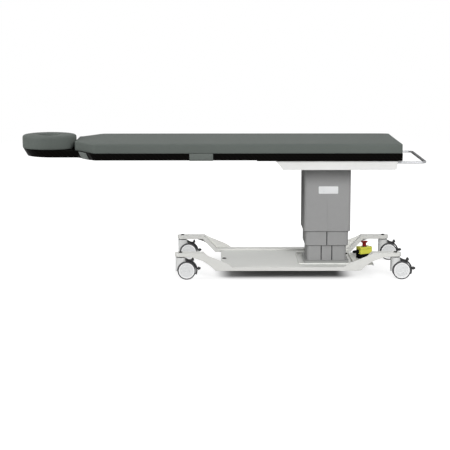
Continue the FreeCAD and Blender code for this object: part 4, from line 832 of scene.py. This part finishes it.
def makeCaps():
    s = capShape
    low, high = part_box("caster_bolt_caps")
    bm = bmesh.new()
    for x in (low.x + s["radius"], high.x - s["radius"]):
        for y in (low.y + s["radius"], high.y - s["radius"]):
            spinProfile(bm, s["cap"], Vector((x, y, low.z)), zAxis, xAxis, s["capSteps"])
    keepPiece("armCaps", bm, "base", "capBlack", ["caster_bolt_caps"], 30.0)
    low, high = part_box("tray_plug")
    bm = bmesh.new()
    middle = Vector(((low.x + high.x) / 2, 0, low.z))
    spinProfile(bm, s["plug"], middle, zAxis, xAxis, s["plugSteps"])
    keepPiece("trayPlug", bm, "base", "capBlack", ["tray_plug"], 30.0)


makeCaps()
print("caps and plug made")


# ---- brake pedals: rubber wedges over their toes

toeShape = {"width": 0.0225, "corner": 0.0012, "edge": 0.0009,
            "casterX": {"head": -0.2296, "foot": 0.9556}, "casterY": {"near": -0.287, "far": 0.287},
            # outlines in the caster's own frame, seen from the near side
            "release": [(0.0570, 0.1035), (0.0755, 0.1035), (0.0715, 0.1180), (0.0645, 0.1180)],
            "lock": [(0.0963, 0.0500), (0.1108, 0.0565), (0.1108, 0.0630), (0.0963, 0.0680)]}


def makeToes(key):
    s = toeShape
    end, side = key.split("_")
    place = Matrix.Translation((s["casterX"][end], s["casterY"][side], 0)) @ upright
    bm = bmesh.new()
    for outline in (s["release"], s["lock"]):
        addPlate(bm, outline, -s["width"] / 2, s["width"] / 2, s["corner"], 3, s["edge"], place)
    keepPiece(f"toes_{key}", bm, f"pedal_{key}", "blackPlastic", smoothBelow=40.0)


for key in corners:
    makeToes(key)
print("toes made")


# ---- emergency stop

stopShape = {"place": (0.817, 0.020), "turn": 25.0, "clearance": 0.0002, "base": (0.086, 0.062),
             # the base's foot: height, corner, edge; its body: inset, bottom, corner, edge
             "foot": (0.0045, 0.0158, 0.0012), "body": (0.002, 0.004, 0.015, 0.003),
             # the lid starts at a share of the box's height, and the wall stands on the box's floor part
             "box": (0.080, 0.055), "corner": 0.008, "split": 0.7, "gap": 0.0008, "floor": 0.02, "wall": 0.0202,
             "wallInset": 0.0006, "edges": {"floor": 0.0012, "wall": 0.0004, "lid": 0.0016},
             # the seal in the gap: inset, half height, how much tighter its corners are
             "seal": (0.003, 0.001, 0.001), "hole": 0.0114, "screw": (0.0315, 0.0195),
             "steps": {"screw": 16, "nut": 40, "cap": 64},
             "screwHead": [(0.0, 0.0), (0.0029, 0.0), (0.0029, 0.0005), (0.0022, 0.0011), (0.0009, 0.0013),
                           (0.0007, 0.0006), (0.0, 0.0006)],
             "nut": [(0.0114, 0.0), (0.0155, 0.0), (0.0158, 0.0006), (0.0152, 0.0022), (0.0140, 0.0026),
                     (0.0116, 0.0022), (0.0114, 0.0)],
             # heights of the cap over its own underside
             "cap": [(0.0, 0.0082), (0.0052, 0.0082), (0.0052, 0.0002), (0.0106, 0.0002), (0.0109, 0.0022),
                     (0.0125, 0.0038), (0.0172, 0.0058), (0.0192, 0.0074), (0.0199, 0.0092), (0.0199, 0.0106),
                     (0.0193, 0.0121), (0.0178, 0.0133), (0.0168, 0.0130), (0.0158, 0.0136), (0.0110, 0.0143),
                     (0.0055, 0.0146), (0.0, 0.0147)]}


def makeStopBase(place):
    s = stopShape
    low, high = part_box("estop_base")
    length, width = s["base"]
    height, corner, edge = s["foot"]
    bm = bmesh.new()
    addPlate(bm, oblong(length, width), low.z + s["clearance"], low.z + height, corner, 8, edge, place)
    inset, bottom, corner, edge = s["body"]
    addPlate(bm, oblong(length - inset, width - inset), low.z + bottom, high.z - s["clearance"], corner, 8,
             edge, place)
    keepPiece("stopBase", bm, "base", "capBlack", ["estop_base"], 40.0)


def makeStopBox(place):
    s = stopShape
    low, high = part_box("estop_box")
    length, width = s["box"]
    corner, gap, edges, steps = s["corner"], s["gap"], s["edges"], s["steps"]
    split = low.z + (high.z - low.z) * s["split"]
    top = high.z - s["clearance"]
    hole = roundLoop(s["hole"])
    bm = bmesh.new()
    addPlate(bm, oblong(length, width), low.z + s["clearance"], low.z + s["floor"], corner, 6, edges["floor"],
             place)
    inset = s["wallInset"]
    addFrame(bm, oblong(length - inset, width - inset), hole, low.z + s["wall"], split - gap / 2, (corner, 0),
             edges["wall"], place=place)
    addFrame(bm, oblong(length, width), hole, split + gap / 2, top, (corner, 0), edges["lid"], place=place)
    inset, half, tighter = s["seal"]
    addFrame(bm, oblong(length - inset, width - inset), hole, split - half, split + half, (corner - tighter, 0),
             0, 1, place)
    screwX, screwY = s["screw"]
    for x in (-screwX, screwX):
        for y in (-screwY, screwY):
            spinProfile(bm, s["screwHead"], place @ Vector((x, y, top)), zAxis, xAxis, steps["screw"], 1)
    spinProfile(bm, s["nut"], Vector((*s["place"], top)), zAxis, xAxis, steps["nut"], 1)
    keepPiece("stopBox", bm, "base", ["stopYellow", "sealBlack"], ["estop_box"], 40.0)


def makeStopCap():
    s = stopShape
    centre = Vector((*s["place"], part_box("estop_cap")[0].z))
    bm = bmesh.new()
    spinProfile(bm, s["cap"], centre, zAxis, xAxis, s["steps"]["cap"])
    keepPiece("stopCap", bm, "estop_mushroom", "stopRed", ["estop_cap"], 35.0)


stopTurn = Matrix.Rotation(math.radians(stopShape["turn"]), 4, "Z")
stopPlace = Matrix.Translation((*stopShape["place"], 0)) @ stopTurn
makeStopBase(stopPlace)
makeStopBox(stopPlace)
makeStopCap()
print("emergency stop made")


# ---- cable glands: hexagonal collar, ribbed nut and open throat

glandShape = {"clearance": 0.0002, "collarCorner": 0.0005, "collarEdge": 0.0005, "step": 0.001,
              "stepFoot": 0.0006, "steps": 24, "ribs": 4, "ribDepth": 0.0005,
              # shares: how deep the nut sits in its collar, how far its ribs reach, rib's start and middle
              "sunk": 0.5, "ribbed": 0.5, "rib": (0.6, 0.8),
              # share of the nut's radius, distance from the end as a share of the length and in metres
              "mouth": [(0.9, 0.16, 0.0), (0.74, 0.0, 0.0008), (0.66, 0.0, 0.0), (0.52, 0.0, 0.0),
                        (0.48, 0.0, 0.0008), (0.48, 0.2, 0.0), (0.0, 0.2, 0.0)]}
glands = {
    # node: place of the axis, turn, start along it, collar's width and length, nut's diameter, whole length
    "estop_gland": ((0.817, 0.020, 0.099), 205.0, 0.040, 0.022, 0.008, 0.018, 0.034),
    "foot_gland": ((0.5896, 0.015, 0.085), 0.0, 0.1105, 0.013, 0.007, 0.010, 0.020),
}


def makeGland(node):
    s = glandShape
    spot, turn, start, across, collar, nut, length = glands[node]
    place = Matrix.Translation(spot) @ Matrix.Rotation(math.radians(turn), 4, "Z")
    sideways = place @ Matrix.Rotation(math.radians(90), 4, "Y")
    bm = bmesh.new()
    addPlate(bm, roundLoop(across / math.sqrt(3) - s["clearance"], 6), start + s["clearance"], start + collar,
             s["collarCorner"], 2, s["collarEdge"], sideways)
    r, shoulder, step = nut / 2, start + collar, s["step"]
    back = start + collar * s["sunk"]
    profile = [(0.0, back), (r - step, back), (r - step, shoulder + s["stepFoot"]), (r, shoulder + step)]
    run = (length - collar) * s["ribbed"] / s["ribs"]
    rise, crest = s["rib"]
    for i in range(s["ribs"]):
        rib = shoulder + step + i * run
        profile += [(r, rib + run * rise), (r - s["ribDepth"], rib + run * crest), (r, rib + run)]
    profile += [(r * share, start + length - length * part - more) for share, part, more in s["mouth"]]
    axis = (place.to_3x3() @ xAxis).normalized()
    spinProfile(bm, profile, Vector(spot), axis, zAxis, s["steps"])
    keepPiece(f"gland_{node}", bm, "base", "capBlack", [node], 35.0)


for node in glands:
    makeGland(node)
print("glands made")


# ---- camera, floor and lights

view = {"place": (-0.0452, -7.6848, 1.5102), "pitch": 80.716, "yaw": -0.472, "lens": 109.22, "sensor": 36.0,
        "farthest": 60.0}


def makeCamera():
    data = bpy.data.cameras.new("camera")
    data.lens = view["lens"]
    data.sensor_width = view["sensor"]
    data.clip_end = view["farthest"]
    camera = placeObject("camera", data)
    camera.location = view["place"]
    camera.rotation_euler = (math.radians(view["pitch"]), 0.0, math.radians(view["yaw"]))
    bpy.context.scene.camera = camera


studio = {
    "floorSize": 14.0, "floorColour": colour(164, 164, 164), "worldLight": 0.105,
    # rectangle under the base in which the floor hardly glows for the camera: middle, half size
    "shadowPatch": ((0.348, 0.0), (0.285, 0.2)),
    # glow in it, close round it and far from it, and how far from it the second and the third are reached
    "shadowGlow": (0.025, 0.76, 1.0), "shadowFade": (0.12, 0.7),
    # name: place, aimed at, size, watts, seen in gloss
    "lamps": {
        "keyLamp": ((1.2, -5.0, 2.5), (0.2, 0.0, 0.4), 2.2, 180.0, True),
        "fillLamp": ((2.3, -4.2, 2.9), (0.2, 0.0, 0.4), 2.2, 48.0, True),
        "sideLamp": ((-4.6, -0.6, 2.2), (-0.4, 0.0, 0.7), 2.0, 128.0, True),
        "topLamp": ((0.4, 0.3, 4.4), (0.1, 0.0, 0.4), 2.5, 46.0, True),
        "backLamp": ((1.0, 4.4, 3.0), (0.2, 0.0, 0.4), 2.4, 45.0, False),
    },
}


def seenDirectly(tree):
    # 1 for what the camera sees, itself or in metal and gloss, and 0 for the light that falls on things
    path = addNode(tree, "ShaderNodeLightPath")
    mirrored = maths(tree, "MAXIMUM", path.outputs["Is Glossy Ray"], path.outputs["Is Transmission Ray"])
    return maths(tree, "MAXIMUM", path.outputs["Is Camera Ray"], mirrored)


def makeFloor():
    bm = bmesh.new()
    bmesh.ops.create_grid(bm, x_segments=1, y_segments=1, size=studio["floorSize"] / 2)
    mesh = bpy.data.meshes.new("floor")
    bm.to_mesh(mesh)
    bm.free()
    floor = placeObject("floor", mesh)
    material = bpy.data.materials.new("floorPaper")
    material.use_nodes = True
    tree = material.node_tree
    tree.nodes.remove(tree.nodes["Principled BSDF"])
    paper = addNode(tree, "ShaderNodeBsdfDiffuse", {"Color": studio["floorColour"]})
    seen = seenDirectly(tree)
    place = addNode(tree, "ShaderNodeTexCoord")
    spot = addNode(tree, "ShaderNodeSeparateXYZ", {0: place.outputs["Object"]})
    middle, half = studio["shadowPatch"]
    gaps = []
    for axis, centre, reach in zip("XY", middle, half):
        distance = maths(tree, "ABSOLUTE", maths(tree, "SUBTRACT", spot.outputs[axis], centre))
        gap = maths(tree, "MAXIMUM", maths(tree, "SUBTRACT", distance, reach), 0.0)
        gaps.append(maths(tree, "MULTIPLY", gap, gap))
    distance = maths(tree, "SQRT", maths(tree, "ADD", *gaps))
    glows, fades = studio["shadowGlow"], (0.0, *studio["shadowFade"])
    strength = glows[0]
    for i in range(2):
        more = remap(tree, distance, fades[i], fades[i + 1], 0.0, glows[i + 1] - glows[i], "SMOOTHSTEP")
        strength = maths(tree, "ADD", strength, more)
    glow = addNode(tree, "ShaderNodeEmission", {"Strength": maths(tree, "MULTIPLY", seen, strength)})
    both = addNode(tree, "ShaderNodeAddShader", {0: paper.outputs[0], 1: glow.outputs[0]})
    # clear from below, so that the underside of the object can be looked at
    below = addNode(tree, "ShaderNodeMixShader",
                    {0: addNode(tree, "ShaderNodeNewGeometry").outputs["Backfacing"], 1: both.outputs[0],
                     2: tree.nodes.new("ShaderNodeBsdfTransparent").outputs[0]})
    tree.links.new(below.outputs[0], tree.nodes["Material Output"].inputs["Surface"])
    mesh.materials.append(material)


def makeWorld():
    world = bpy.data.worlds.new("studio")
    bpy.context.scene.world = world
    world.use_nodes = True
    tree = world.node_tree
    seen = seenDirectly(tree)
    strength = mixValues(tree, seen, studio["worldLight"], 1.0)
    background = tree.nodes["Background"]
    background.inputs["Color"].default_value = (1, 1, 1, 1)
    tree.links.new(strength, background.inputs["Strength"])


def makeLamps():
    for name, (place, aim, size, watts, inGloss) in studio["lamps"].items():
        data = bpy.data.lights.new(name, "AREA")
        data.size = size
        data.energy = watts
        lamp = placeObject(name, data)
        lamp.location = place
        lamp.visible_glossy = inGloss
        lamp.rotation_euler = (Vector(aim) - Vector(place)).to_track_quat("-Z", "Y").to_euler()


makeCamera()
makeFloor()
makeWorld()
makeLamps()
bpy.context.scene.view_settings.view_transform = "Standard"
print("camera, floor and lights made")
